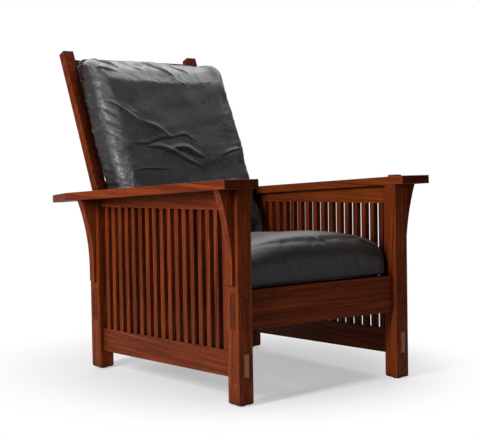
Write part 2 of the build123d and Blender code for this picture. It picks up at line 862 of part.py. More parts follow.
def back_slat(start, height):
    """Slat bowed to the rear, with straight tenons into the stiles."""
    rear = slat_front - back_slat_thickness
    with BuildPart() as slat:
        for hand in (-1, 1):
            with BuildSketch(back_side(hand * (stile_inner - back_tenon_shoulder))):
                with Locations((start + height / 2, slat_middle)):
                    Rectangle(height - back_tenon_shoulder * 2,
                              back_slat_thickness - back_tenon_shoulder * 2)
            extrude(amount=hand * (back_tenon_length + back_tenon_shoulder))
        with BuildSketch(across(back, start)):
            with BuildLine():
                ThreePointArc((-stile_inner, slat_front), (0, slat_front - back_slat_bow),
                              (stile_inner, slat_front))
                Line((stile_inner, slat_front), (stile_inner, rear))
                ThreePointArc((stile_inner, rear), (0, rear - back_slat_bow),
                              (-stile_inner, rear))
                Line((-stile_inner, rear), (-stile_inner, slat_front))
            make_face()
        extrude(amount=-height)
    return slat


def bottom_rail():
    """Straight rail across the foot of the back, which carries the hinges."""
    with BuildPart() as rail:
        extrude(rung_tenons(*rungs[0]), amount=(stile_inner + back_tenon_length) * 2)
        with BuildSketch(across(back, stile_bottom)):
            with Locations((0, rail_middle)):
                Rectangle(stile_inner * 2, bottom_rail_thickness)
        extrude(amount=-bottom_rail_height)
        screw_holes(back_face, moving_hinge_screw_points(), hinge_screw_length, *hinge_screw)
    return rail


knuckle_length = (hinge_length - knuckle_gap * 2) / 3
knuckle_clear = knuckle_radius + knuckle_gap


def hinge_starts(hand):
    """Where the three knuckles of a hinge start along X."""
    left = hand * hinge_offset - hinge_length / 2
    return [left + (knuckle_length + knuckle_gap) * index for index in range(3)]


def fixed_leaf(hand):
    """Hinge leaf on the rear cleat, with the two outer knuckles."""
    outer_left, middle, outer_right = hinge_starts(hand)
    with BuildPart() as leaf:
        with BuildSketch(plan(hinge_z - hinge_leaf_thickness)):
            with Locations((hand * hinge_offset, hinge_y + hinge_leaf_width / 2)):
                Rectangle(hinge_length, hinge_leaf_width)
        extrude(amount=hinge_leaf_thickness)
        slot(
            plan(hinge_z + overrun),
            (hand * hinge_offset, hinge_y),
            (knuckle_length + knuckle_gap * 2, knuckle_clear * 2),
            overrun * 2,
        )
        for start in (outer_left, outer_right):
            bore(side(start), [(hinge_y, hinge_z)], knuckle_radius, -knuckle_length, cut=False)
        bore(side(outer_left), [(hinge_y, hinge_z)], hinge_pin_radius + hinge_pin_play,
             -hinge_length)
        screw_holes(plan(hinge_z), fixed_hinge_screw_points(), hinge_screw_length, *hinge_screw)
    return leaf


def moving_leaf(hand):
    """Hinge leaf on the back's bottom rail, with the middle knuckle."""
    outer_left, middle, outer_right = hinge_starts(hand)
    with BuildPart() as leaf:
        with BuildSketch(back):
            with Locations((hand * hinge_offset, (hinge_leaf_width + knuckle_clear) / 2)):
                Rectangle(hinge_length, hinge_leaf_width - knuckle_clear)
            with Locations((hand * hinge_offset, knuckle_clear / 2)):
                Rectangle(knuckle_length, knuckle_clear)
        extrude(amount=hinge_leaf_thickness)
        bore(side(middle), [(hinge_y, hinge_z)], knuckle_radius, -knuckle_length, cut=False)
        bore(side(outer_left), [(hinge_y, hinge_z)], hinge_pin_radius + hinge_pin_play,
             -hinge_length)
        screw_holes(back_face, moving_hinge_screw_points(), hinge_screw_length, *hinge_screw)
    return leaf


def hinge_pins():
    """The two pins that the back turns on."""
    with BuildPart() as pins:
        for hand in (-1, 1):
            bore(side(hinge_starts(hand)[0]), [(hinge_y, hinge_z)], hinge_pin_radius,
                 -hinge_length, cut=False)
    return pins


def hinge_screws(plane, points):
    """Screws of the hinge leaves on one side of the hinges."""
    with BuildPart() as metal:
        screws(plane, points, hinge_screw_length, *hinge_screw)
    return metal


def support_peg(hand):
    """Turned peg in the last hole of an arm, where the leaning back comes to rest."""
    spot = arm_to_chair(peg_place(back_angle + recline_range), arm_thickness / 2)
    with BuildPart() as peg:
        hole = facing(-hand, hand * arm_inner, [spot])
        bore(*hole, peg_radius, -peg_reach, cut=False)
        tip = peg.faces().sort_by(Axis.X)[0 if hand > 0 else -1]
        fillet(tip.edges(), peg_end_radius)
        bore(*hole, peg_shank_radius, peg_shank_length, cut=False)
    return peg


# Each cross-section of a cushion, as shares: where it is along the cushion, how much of the
# thickness is left out under it and how much it fills, and its width
seat_cushion_sections = (
    (0.0, 0.0, 0.48, 0.955),
    (0.025, 0.0, 0.75, 0.985),
    (0.08, 0.0, 0.93, 1.0),
    (0.25, 0.0, 0.992, 0.992),
    (0.5, 0.0, 1.0, 0.985),
    (0.75, 0.0, 0.992, 0.992),
    (0.92, 0.0, 0.93, 1.0),
    (0.975, 0.0, 0.75, 0.985),
    (1.0, 0.0, 0.48, 0.955),
)
back_cushion_sections = (
    (0.0, 0.74, 0.09, 0.97),
    (0.025, 0.52, 0.42, 0.98),
    (0.06, 0.25, 0.74, 0.98),
    (0.11, 0.0, 0.995, 0.98),
    (0.25, 0.0, 1.0, 0.985),
    (0.5, 0.0, 1.0, 1.0),
    (0.75, 0.0, 0.995, 1.0),
    (0.85, 0.0, 0.95, 1.0),
    (0.91, 0.0, 0.76, 1.0),
    (0.96, 0.0, 0.40, 0.97),
    (0.985, 0.0, 0.18, 0.90),
    (1.0, 0.0, 0.06, 0.77),
)
corner_height_share = 0.8
half_turn_share = math.sqrt(0.5)
flank_height_share = 0.5
flank_width_share = 0.7


def cushion(base, start, length, sections, width, swell, side_height, crown, corner):
    """Crowned pad with rounded shoulders, its sides swelling out above its underside."""
    with BuildPart() as pad:
        for place, lift_share, depth_share, width_share in sections:
            under = width / 2 * width_share
            half = under + swell * depth_share
            flank_x = under + (half - under) * flank_width_share
            lift = crown * lift_share
            flank = lift + side_height * flank_height_share * depth_share
            edge = lift + side_height * depth_share
            top = edge + corner * corner_height_share * depth_share
            inner = half - corner
            knee_x = inner + corner * half_turn_share
            knee_z = edge + (top - edge) * half_turn_share
            with BuildSketch(across(base, start + length * place)):
                with BuildLine():
                    Polyline(
                        (-half, edge), (-flank_x, flank), (-under, lift),
                        (under, lift), (flank_x, flank), (half, edge),
                    )
                    ThreePointArc((half, edge), (knee_x, knee_z), (inner, top))
                    ThreePointArc((inner, top), (0, lift + crown * depth_share), (-inner, top))
                    ThreePointArc((-inner, top), (-knee_x, knee_z), (-half, edge))
                make_face()
        loft()
    return pad


def seat_cushion():
    """Loose seat cushion, lying on the slats just behind the front rail's face."""
    return cushion(seat.offset(soft_gap), seat_cushion_setback, seat_cushion_length,
                   seat_cushion_sections, seat_cushion_width, seat_cushion_swell,
                   seat_cushion_side, seat_cushion_crown, seat_cushion_corner)


def back_cushion():
    """Loose back cushion as wide as the room between the stiles, its sides swelling out."""
    behind = back.offset(stile_front + soft_gap)
    with BuildPart() as pad:
        add(cushion(behind, back_cushion_start, back_cushion_length, back_cushion_sections,
                    back_cushion_width, back_cushion_swell, back_cushion_side,
                    back_cushion_crown, back_cushion_corner).part)
        split(bisect_by=behind, keep=Keep.TOP)
    return pad


# Every piece, by name
pieces = {}
for name, hand in (("left", -1), ("right", 1)):
    pieces[f"front_leg_{name}"] = front_leg(hand)
    pieces[f"rear_leg_{name}"] = rear_leg(hand)
    pieces[f"arm_{name}"] = arm(hand)
    pieces[f"front_corbel_{name}"] = corbel(hand, front_leg_y, front_corbel_top)
    pieces[f"rear_corbel_{name}"] = corbel(hand, rear_leg_y, rear_corbel_top)
    pieces[f"lower_side_rail_{name}"] = lower_side_rail(hand)
    pieces[f"upper_side_rail_{name}"] = upper_side_rail(hand)
    pieces[f"spindles_{name}"] = spindles(hand)
    pieces[f"side_cleat_{name}"] = side_cleat(hand)
    pieces[f"back_stile_{name}"] = back_stile(hand)
    pieces[f"hinge_fixed_leaf_{name}"] = fixed_leaf(hand)
    pieces[f"hinge_moving_leaf_{name}"] = moving_leaf(hand)
    pieces[f"support_peg_{name}"] = support_peg(hand)

pieces["front_seat_rail"] = seat_rail(front_leg_y, front_rail_middle, 0, pin_length)
pieces["rear_seat_rail"] = rear_seat_rail()
pieces["joint_pins"] = joint_pins()
pieces["corbel_screws"] = corbel_screws()
pieces["corbel_plugs"] = corbel_plugs()
pieces["leg_glides"] = leg_glides()
pieces["rear_cleat"] = rear_cleat()
pieces["cleat_screws"] = cleat_screws()
pieces["slat_screws"] = slat_screws()
for number, middle in enumerate(slat_middles(), start=1):
    pieces[f"seat_slat_{number}"] = seat_slat(middle)
pieces["seat_cushion"] = seat_cushion()

for number, start in enumerate(slat_starts, start=1):
    pieces[f"back_slat_{number}"] = back_slat(start, back_slat_height)
pieces["back_top_slat"] = back_slat(top_slat_start, top_slat_height)
pieces["back_bottom_rail"] = bottom_rail()
pieces["hinge_pins"] = hinge_pins()
pieces["hinge_fixed_screws"] = hinge_screws(plan(hinge_z), fixed_hinge_screw_points())
pieces["hinge_moving_screws"] = hinge_screws(back_face, moving_hinge_screw_points())
pieces["back_cushion"] = back_cushion()

os.makedirs("parts", exist_ok=True)
for name, piece in pieces.items():
    piece.part.label = name
    export_step(piece.part, f"parts/{name}.step")
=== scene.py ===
import json
import math
import random

import bpy
import numpy as np
from bpy.props import FloatProperty, FloatVectorProperty, IntProperty, PointerProperty
from mathutils import Matrix, Vector


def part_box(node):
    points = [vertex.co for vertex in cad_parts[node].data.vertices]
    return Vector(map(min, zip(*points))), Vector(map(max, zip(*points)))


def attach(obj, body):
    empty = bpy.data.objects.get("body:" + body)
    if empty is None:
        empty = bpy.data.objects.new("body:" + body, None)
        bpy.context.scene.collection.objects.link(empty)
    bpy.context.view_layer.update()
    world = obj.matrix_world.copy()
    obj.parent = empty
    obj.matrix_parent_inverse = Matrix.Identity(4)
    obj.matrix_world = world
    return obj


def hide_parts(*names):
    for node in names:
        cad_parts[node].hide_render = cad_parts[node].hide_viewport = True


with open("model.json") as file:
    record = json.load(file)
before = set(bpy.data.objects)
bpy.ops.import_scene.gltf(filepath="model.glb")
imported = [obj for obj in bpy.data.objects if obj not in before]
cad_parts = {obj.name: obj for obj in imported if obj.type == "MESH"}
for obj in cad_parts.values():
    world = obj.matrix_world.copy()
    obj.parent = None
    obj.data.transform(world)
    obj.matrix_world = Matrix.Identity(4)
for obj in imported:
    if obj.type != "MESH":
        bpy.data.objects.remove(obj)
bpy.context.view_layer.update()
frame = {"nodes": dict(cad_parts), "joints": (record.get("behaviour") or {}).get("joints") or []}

bl_info = {
    "name": "Mission Recliner",
    "version": (1, 0, 0),
    "blender": (4, 5, 0),
    "location": "View3D > Sidebar > Recliner",
    "description": "Finishes, cushions and studio for a mission reclining armchair",
    "category": "Add Mesh",
}

MM = 0.001

# Angles from the upright and the level: the back upright, the seat, the whole frame
BACK_LEAN = math.radians(24.37)
SEAT_SLOPE = math.radians(4.37)
CHAIR_LEAN = math.radians(1.57)

# The stiles' front face and the seat's front edge, measured from the hinge line
STILE_FRONT = 34.5 * MM
SEAT_FROM_HINGE = (0.0, -705.004 * MM, 53.414 * MM)
SOFT_GAP = 0.4 * MM

# Spindles stand one pitch apart, and their rows start this far before the first one
SPINDLE_PITCH, SPINDLE_ROW_START = 38.5 * MM, 10 * MM

# Nodes by the direction of their grain, and those of other materials
ALONG_X, ALONG_Y, ALONG_Z = "x", "y", "z"
UPRIGHTS = ("front_leg_", "rear_leg_", "front_corbel_", "rear_corbel_")
FORE_AND_AFT = ("arm_", "lower_side_rail_", "upper_side_rail_")
CROSSWAYS = ("front_seat_rail", "rear_seat_rail", "back_slat_", "back_top_slat",
             "back_bottom_rail")
DECK = ("seat_slat_", "rear_cleat", "side_cleat_")
STEEL = ("hinge_", "cleat_screws", "slat_screws", "corbel_screws")

# Oak noise: how often it changes along and across the grain, per metre
WANDER_SCALE, WANDER_REACH = (2.5, 9.0, 9.0), (0.0, 0.005, 0.005)
BAND_SCALE = (1.6, 95.0, 95.0)
LINE_SCALE = (6.0, 420.0, 420.0)
PORE_SCALE = (42.0, 1150.0, 1150.0)
FLECK_SCALE = (24.0, 60.0, 260.0)
# Patches along the arrises, whose lighter colour is partly wear and partly a painted highlight
WEAR_AND_HIGHLIGHT_SCALE = (9.0, 60.0, 60.0)
BAND_PLACES = (0.30, 0.47, 0.60, 0.78)
ROW_PLACES = (0.0, 0.3, 0.6, 1.0)

# What spread() makes of a value: from, to, result at the first, result at the second
STREAK_LIGHT = (0.30, 0.68, 0.62, 1.22)
FLECK_SHARE = (0.64, 0.72, 0.0, 0.32)
PORE_SHARE = (0.60, 0.72, 0.0, 0.6)
OAK_ROUGHNESS = (0.3, 0.7, 0.46, 0.34)
# How patchy the arrises' lighter colour is, partly wear and partly a painted highlight
WEAR_AND_HIGHLIGHT_PATCHES = (0.35, 0.6, 0.35, 1.0)
STEEL_ROUGHNESS = (0.3, 0.7, 0.32, 0.55)
NYLON_ROUGHNESS = (0.3, 0.7, 0.4, 0.65)
FLOOR_GLOW = (0.42, 0.92, 0.42, 1.0)

# Where such a range starts and ends, when settings give its results
CREVICE_OPEN, END_FACING, ARRIS_TURN = (0.28, 0.85), (0.75, 0.97), (0.99, 0.80)
FILL_TURN, ROOM_TURN, FRONT_FILL = (-0.5, 0.6), (0.25, 0.95), 0.25
TENON_END_SHARE = 0.85
GLOSSIER, DULLER = 0.05, 0.07
SAMPLES = 4


def joint_place(name):
    """Where a joint of the frame turns, in metres."""
    return Vector(next(joint["pos_m"] for joint in frame["joints"]
                       if joint["name"] == name))


def leaning_space(origin, along, out):
    """Matrix from a panel's own axes, across, along and out, to the frame."""
    across = Vector((1, 0, 0))
    turn = Matrix((across, along, out)).transposed().to_4x4()
    return Matrix.Translation(origin) @ turn


def back_space():
    """Across, up and out of the back, from its hinge line."""
    along = Vector((0, math.sin(BACK_LEAN), math.cos(BACK_LEAN)))
    out = Vector((0, -math.cos(BACK_LEAN), math.sin(BACK_LEAN)))
    return leaning_space(joint_place("back_recline"), along, out)


def seat_space():
    """Across, back and up from the front edge under the seat cushion."""
    along = Vector((0, math.cos(SEAT_SLOPE), -math.sin(SEAT_SLOPE)))
    out = Vector((0, math.sin(SEAT_SLOPE), math.cos(SEAT_SLOPE)))
    return leaning_space(joint_place("back_recline") + Vector(SEAT_FROM_HINGE), along, out)


def deselect():
    if bpy.context.object and bpy.context.object.mode != "OBJECT":
        bpy.ops.object.mode_set(mode="OBJECT")
    bpy.ops.object.select_all(action="DESELECT")


def activate(piece):
    deselect()
    piece.select_set(True)
    bpy.context.view_layer.objects.active = piece


def apply_modifier(piece, kind, **settings):
    """Adds a modifier to a piece, sets it and applies it."""
    activate(piece)
    bpy.ops.object.modifier_add(type=kind)
    modifier = piece.modifiers[-1]
    for key, value in settings.items():
        setattr(modifier, key, value)
    bpy.ops.object.modifier_apply(modifier=modifier.name)


def cover(piece, material):
    """Shades a piece smooth and gives it a material."""
    activate(piece)
    bpy.ops.object.shade_smooth()
    piece.data.materials.append(material)


def read_points(piece):
    points = np.empty(len(piece.data.vertices) * 3, np.float32)
    piece.data.vertices.foreach_get("co", points)
    return points.reshape(-1, 3).astype(float)


def read_normals(piece):
    normals = np.empty(len(piece.data.vertices) * 3, np.float32)
    piece.data.vertex_normals.foreach_get("vector", normals)
    return normals.reshape(-1, 3).astype(float)


def write_points(piece, points):
    piece.data.vertices.foreach_set("co", points.astype(np.float32).ravel())
    piece.data.update()


def into(space, points):
    """Frame points as x, along and out of a space."""
    inverse = np.array(space.inverted())
    return points @ inverse[:3, :3].T + inverse[:3, 3]


def out_of(space, points):
    matrix = np.array(space)
    return points @ matrix[:3, :3].T + matrix[:3, 3]


# Materials

def feed(tree, node, inputs):
    """Sets a node's inputs; where the value is a socket, it is linked."""
    for key, value in inputs.items():
        if isinstance(value, bpy.types.NodeSocket):
            tree.links.new(value, node.inputs[key])
        else:
            node.inputs[key].default_value = value


def add_node(tree, kind, inputs=None, **settings):
    node = tree.nodes.new(kind)
    for key, value in settings.items():
        setattr(node, key, value)
    feed(tree, node, inputs or {})
    return node


def object_place(tree):
    return tree.nodes.new("ShaderNodeTexCoord").outputs["Object"]


def bumped(tree, height, strength, distance, **more):
    """A normal that follows a height."""
    return add_node(tree, "ShaderNodeBump", {
        "Height": height, "Strength": strength, "Distance": distance, **more}).outputs[0]


def noise(tree, vector, scale, detail=2.0, roughness=0.5, distortion=0.0):
    return add_node(tree, "ShaderNodeTexNoise", {
        "Vector": vector, "Scale": scale, "Detail": detail, "Roughness": roughness,
        "Distortion": distortion,
    }).outputs["Fac"]


def stretched(tree, vector, scale):
    """A vector scaled by its own factor along each axis."""
    return add_node(tree, "ShaderNodeVectorMath", {0: vector, 1: scale},
                    operation="MULTIPLY").outputs[0]


def math_node(tree, operation, a, b=0.0, c=0.0, clamp=False):
    return add_node(tree, "ShaderNodeMath", {0: a, 1: b, 2: c}, operation=operation,
                    use_clamp=clamp).outputs[0]


def spread(tree, value, low, high, to_low=0.0, to_high=1.0):
    """A value's range mapped smoothly to another one."""
    return add_node(tree, "ShaderNodeMapRange", {
        "Value": value, "From Min": low, "From Max": high, "To Min": to_low,
        "To Max": to_high,
    }, interpolation_type="SMOOTHSTEP").outputs["Result"]


def mixed(tree, factor, a, b, blend="MIX"):
    return add_node(tree, "ShaderNodeMix", {"Factor": factor, 6: a, 7: b},
                    data_type="RGBA", blend_type=blend).outputs[2]


def shaded(tree, colour, light):
    """A colour multiplied by a grey."""
    grey = add_node(tree, "ShaderNodeCombineColor", {"Red": light, "Green": light,
                                                     "Blue": light}).outputs[0]
    return mixed(tree, 1.0, colour, grey, "MULTIPLY")


def ramp(tree, value, stops):
    """Colours at places along a value, smooth between them."""
    stops = list(stops)
    node = add_node(tree, "ShaderNodeValToRGB", {"Fac": value})
    elements = node.color_ramp.elements
    while len(elements) < len(stops):
        elements.new(0.5)
    for element, (place, colour) in zip(elements, stops):
        element.position = place
        element.color = (*colour, 1.0)
    return node.outputs["Color"]


def new_material(name):
    material = bpy.data.materials.new(name)
    material.use_nodes = True
    tree = material.node_tree
    tree.nodes.clear()
    shader = tree.nodes.new("ShaderNodeBsdfPrincipled")
    output = tree.nodes.new("ShaderNodeOutputMaterial")
    tree.links.new(shader.outputs["BSDF"], output.inputs["Surface"])
    return material, tree, shader


def oak_group(settings):
    """Node group for stained quartersawn oak, its grain along X of the vector it gets."""
    tree = bpy.data.node_groups.new("stained oak", "ShaderNodeTree")
    tree.interface.new_socket("Vector", in_out="INPUT", socket_type="NodeSocketVector")
    for name, kind in (("Color", "NodeSocketColor"), ("Roughness", "NodeSocketFloat"),
                       ("Height", "NodeSocketFloat")):
        tree.interface.new_socket(name, in_out="OUTPUT", socket_type=kind)
    start = tree.nodes.new("NodeGroupInput")
    end = tree.nodes.new("NodeGroupOutput")
    place = start.outputs["Vector"]

    wander = add_node(tree, "ShaderNodeTexNoise", {
        "Vector": stretched(tree, place, WANDER_SCALE), "Scale": 1.0, "Detail": 2.0,
    }).outputs["Color"]
    wander = add_node(tree, "ShaderNodeVectorMath", {0: wander, 1: (0.5, 0.5, 0.5)},
                      operation="SUBTRACT").outputs[0]
    wander = stretched(tree, wander, WANDER_REACH)
    place = add_node(tree, "ShaderNodeVectorMath", {0: place, 1: wander},
                     operation="ADD").outputs[0]

    bands = noise(tree, stretched(tree, place, BAND_SCALE), 1.0, 4.0, 0.6)
    lines = noise(tree, stretched(tree, place, LINE_SCALE), 1.0, 3.0, 0.6)
    pores = noise(tree, stretched(tree, place, PORE_SCALE), 1.0, 1.0)
    flecks = noise(tree, stretched(tree, place, FLECK_SCALE), 1.0, 1.0, 0.5, 0.6)

    colour = ramp(tree, bands, zip(BAND_PLACES, (
        settings.dark_stain, settings.mid_stain, settings.light_stain,
        settings.pale_stain)))
    colour = shaded(tree, colour, spread(tree, lines, *STREAK_LIGHT))
    fleck = spread(tree, flecks, *FLECK_SHARE)
    colour = mixed(tree, fleck, colour, (*settings.fleck, 1.0))
    pore = spread(tree, pores, *PORE_SHARE)
    colour = mixed(tree, pore, colour, (*settings.pore, 1.0))
    height = math_node(tree, "SUBTRACT", math_node(tree, "MULTIPLY", lines, 0.5), pore)
    feed(tree, end, {"Color": colour, "Roughness": spread(tree, lines, *OAK_ROUGHNESS),
                     "Height": height})
    return tree


GRAIN_TURNS = {ALONG_X: (0, 0, 0), ALONG_Y: (0, 0, -math.pi / 2),
               ALONG_Z: (0, math.pi / 2, 0)}
END_AXES = {ALONG_X: 0, ALONG_Y: 1, ALONG_Z: 2}


def wood_material(name, group, settings, direction, tint, shade, lean=0.0, rows=None,
                  tenon=False):
    """Stained oak for one board: its grain direction, its tint and how light it is.

    Rows hold where a row of spindles starts and its pitch, for a tint of each spindle.
    """
    name = name.replace("_", " ")
    material, tree, shader = new_material(name)
    draw = random.Random(name)
    upright = add_node(tree, "ShaderNodeMapping", {
        "Vector": object_place(tree), "Rotation": (-lean, 0.0, 0.0),
    }, vector_type="POINT").outputs[0]
    place = upright
    row_tint = None
    if rows:
        first, pitch = rows
        axes = add_node(tree, "ShaderNodeSeparateXYZ", {"Vector": upright})
        row = math_node(tree, "FLOOR", math_node(
            tree, "DIVIDE", math_node(tree, "SUBTRACT", axes.outputs["Y"], first), pitch))
        shift = add_node(tree, "ShaderNodeTexWhiteNoise", {"W": row},
                         noise_dimensions="1D")
        place = add_node(tree, "ShaderNodeVectorMath", {
            0: upright, 1: shift.outputs["Color"]}, operation="ADD").outputs[0]
        row_tint = ramp(tree, shift.outputs["Value"], zip(ROW_PLACES, (
            settings.plum_board, settings.cool_board, settings.warm_board,
            settings.orange_board)))
    grain = add_node(tree, "ShaderNodeMapping", {
        "Vector": place, "Rotation": GRAIN_TURNS[direction],
        "Location": [draw.uniform(-3, 3) for _ in range(3)],
    }, vector_type="POINT").outputs[0]
    oak = add_node(tree, "ShaderNodeGroup", {"Vector": grain}, node_tree=group)
    board = [shade * part for part in tint]
    colour = mixed(tree, 1.0, oak.outputs["Color"], (*board, 1.0), "MULTIPLY")
    if row_tint:
        colour = mixed(tree, 1.0, colour, row_tint, "MULTIPLY")

    # Painted shade: the colour turns darker in corners and in gaps between parts, where shade
    # falls
    crevice = add_node(tree, "ShaderNodeAmbientOcclusion", {
        "Distance": settings.crevice}, samples=SAMPLES).outputs["AO"]
    colour = shaded(tree, colour, spread(tree, crevice, *CREVICE_OPEN,
                                         settings.painted_shade_floor, 1.0))

    # End grain takes more stain, except at the through tenons
    facing = tree.nodes.new("ShaderNodeNewGeometry").outputs["Normal"]
    turned = add_node(tree, "ShaderNodeMapping", {
        "Vector": facing, "Rotation": (-lean, 0.0, 0.0)}, vector_type="POINT").outputs[0]
    parts = add_node(tree, "ShaderNodeSeparateXYZ", {"Vector": turned})
    end = math_node(tree, "ABSOLUTE", parts.outputs[END_AXES[direction]])
    end = spread(tree, end, *END_FACING, 0.0,
                 TENON_END_SHARE if tenon else settings.end_grain)
    end_colour = settings.tenon_end if tenon else settings.end_stain
    colour = mixed(tree, end, colour, (*end_colour, 1.0))

    # The arrises turn lighter where the softened normal turns away from the face: partly rubbed
    # stain, partly a painted highlight along the edges
    rounded = add_node(tree, "ShaderNodeBevel", {"Radius": settings.arris},
                       samples=SAMPLES)
    sameness = add_node(tree, "ShaderNodeVectorMath", {
        0: rounded.outputs[0], 1: facing}, operation="DOT_PRODUCT").outputs["Value"]
    patchy = noise(tree, stretched(tree, grain, WEAR_AND_HIGHLIGHT_SCALE), 1.0, 3.0, 0.6)
    wear_and_highlight = spread(tree, sameness, *ARRIS_TURN, 0.0, settings.wear_and_highlight)
    wear_and_highlight = math_node(tree, "MULTIPLY", wear_and_highlight, spread(tree, patchy, *WEAR_AND_HIGHLIGHT_PATCHES))
    colour = mixed(tree, wear_and_highlight, colour, (*settings.worn_and_highlit, 1.0))
    feed(tree, shader, {
        "Base Color": colour, "Roughness": oak.outputs["Roughness"],
        "Normal": bumped(tree, oak.outputs["Height"], 0.35, 0.4 * MM,
                         Normal=rounded.outputs[0]),
        "Specular IOR Level": settings.shine})
    return material


def steel_material(settings):
    material, tree, shader = new_material("aged steel")
    objects = object_place(tree)
    cloud = noise(tree, objects, 120.0, 4.0, 0.6)
    scratch = noise(tree, stretched(tree, objects, (40.0, 900.0, 900.0)), 1.0, 2.0)
    colour = ramp(tree, cloud, ((0.35, settings.dark_steel), (0.7, settings.steel)))
    feed(tree, shader, {
        "Base Color": colour, "Roughness": spread(tree, scratch, *STEEL_ROUGHNESS),
        "Normal": bumped(tree, scratch, 0.2, 0.2 * MM), "Metallic": 0.9})
    return material


def nylon_material(settings):
    material, tree, shader = new_material("glide nylon")
    objects = object_place(tree)
    scuffs = noise(tree, objects, 260.0, 5.0, 0.65)
    colour = ramp(tree, scuffs, ((0.35, settings.nylon), (0.75, settings.scuffs)))
    feed(tree, shader, {
        "Base Color": colour, "Roughness": spread(tree, scuffs, *NYLON_ROUGHNESS),
        "Normal": bumped(tree, scuffs, 0.3, 0.3 * MM)})
    return material


def leather_material(name, settings, welt=False, dull=0.0):
    """Black satin leather: pebbled grain, fine stretch lines and a patchy sheen."""
    material, tree, shader = new_material(name)
    objects = object_place(tree)
    bent = add_node(tree, "ShaderNodeTexNoise", {
        "Vector": objects, "Scale": 60.0, "Detail": 2.0}).outputs["Color"]
    bent = stretched(tree, bent, (0.004, 0.004, 0.004))
    place = add_node(tree, "ShaderNodeVectorMath", {0: objects, 1: bent},
                     operation="ADD").outputs[0]
    pebbles = add_node(tree, "ShaderNodeTexVoronoi", {
        "Vector": place, "Scale": settings.pebbles, "Randomness": 1.0,
    }, feature="DISTANCE_TO_EDGE").outputs["Distance"]
    pebbles = spread(tree, pebbles, 0.0, 0.22)
    patches = noise(tree, objects, 7.0, 4.0, 0.55)
    stretch = noise(tree, stretched(tree, objects, (26.0, 14.0, 60.0)), 1.0, 5.0, 0.6, 0.8)
    colour = ramp(tree, patches, (
        (0.35, settings.leather_dark), (0.68, settings.leather_light)))
    seam = math_node(tree, "SUBTRACT", 1.0, pebbles)
    colour = mixed(tree, math_node(tree, "MULTIPLY", seam, 0.4), colour,
                   (*settings.leather_seam, 1.0))
    gloss = add_node(tree, "ShaderNodeMapRange", {
        "Value": patches, "From Min": 0.3, "From Max": 0.7,
        "To Min": settings.leather_roughness + dull - GLOSSIER,
        "To Max": settings.leather_roughness + dull + DULLER}).outputs["Result"]
    grain = math_node(tree, "ADD", math_node(tree, "MULTIPLY", pebbles, 0.35),
                      math_node(tree, "MULTIPLY", stretch, 0.0 if welt else 1.6))
    pebbled = bumped(tree, grain, settings.leather_bump, 1.5 * MM)
    feed(tree, shader, {
        "Base Color": colour, "Roughness": gloss, "Normal": pebbled,
        "Specular IOR Level": settings.leather_shine,
        "Coat Weight": settings.leather_coat,
        "Coat Roughness": settings.coat_roughness + dull, "Coat Normal": pebbled})
    return material


def paint(node, material):
    """Gives a CAD node one material."""
    node.data.materials.clear()
    node.data.materials.append(material)


def nodes_named(*starts):
    return [(name, node) for name, node in sorted(frame["nodes"].items())
            if name.startswith(starts)]


# Cushions

def soft_copy(node, name, voxel, inset):
    """A CAD cushion's mesh as a new piece, even quads all over and a little smaller."""
    source = frame["nodes"][node]
    piece = bpy.data.objects.new(name, source.data.copy())
    bpy.context.scene.collection.objects.link(piece)
    piece.data.materials.clear()
    activate(piece)
    bpy.ops.object.mode_set(mode="EDIT")
    bpy.ops.mesh.select_all(action="SELECT")
    bpy.ops.mesh.remove_doubles(threshold=0.05 * MM)
    bpy.ops.mesh.normals_make_consistent(inside=False)
    bpy.ops.object.mode_set(mode="OBJECT")
    apply_modifier(piece, "REMESH", mode="VOXEL", voxel_size=voxel)
    apply_modifier(piece, "SMOOTH", factor=0.5, iterations=6)
    apply_modifier(piece, "SHRINKWRAP", target=source, wrap_mode="ON_SURFACE")
    points = read_points(piece)
    write_points(piece, points - read_normals(piece) * inset)
    return piece


def puff(piece, settings, pinned):
    """Fills a cushion by a short cloth simulation; pinned points stay where they are."""
    before = read_points(piece)
    group = piece.vertex_groups.new(name="seam")
    for index in np.flatnonzero(pinned).tolist():
        group.add([index], 1.0, "REPLACE")
    activate(piece)
    bpy.ops.object.modifier_add(type="CLOTH")
    cloth = piece.modifiers[-1]
    cloth.settings.quality = 5
    cloth.settings.mass = 0.35
    cloth.settings.tension_stiffness = 18.0
    cloth.settings.compression_stiffness = 12.0
    cloth.settings.shear_stiffness = 8.0
    cloth.settings.bending_stiffness = 0.6
    cloth.settings.use_pressure = True
    cloth.settings.uniform_pressure_force = settings.pressure
    cloth.settings.vertex_group_mass = group.name
    cloth.settings.effector_weights.gravity = 0.0
    cloth.collision_settings.use_collision = False
    cloth.point_cache.frame_start = 1
    cloth.point_cache.frame_end = settings.frames
    for number in range(1, settings.frames + 1):
        bpy.context.scene.frame_set(number)
    bpy.ops.object.modifier_apply(modifier=cloth.name)
    bpy.context.scene.frame_set(1)
    after = read_points(piece)
    move = after - before
    length = np.linalg.norm(move, axis=1, keepdims=True)
    limit = settings.puff_limit
    write_points(piece, before + move * np.minimum(1.0, limit / np.maximum(length, 1e-9)))
    piece.vertex_groups.clear()


def smooth_step(value, low, high):
    share = np.clip((value - low) / (high - low), 0, 1)
    return share * share * (3 - 2 * share)


def waves(points, draw, lengths, height, count=28):
    """Slow unevenness of stuffed leather, as a sum of waves in all directions."""
    total = np.zeros(len(points))
    for _ in range(count):
        heading = np.array([draw.gauss(0, 1) for _ in range(3)])
        heading *= 2 * math.pi / (draw.uniform(*lengths) * MM) / np.linalg.norm(heading)
        total += np.sin(points @ heading + draw.uniform(0, 2 * math.pi))
    return total * height * MM / math.sqrt(count)


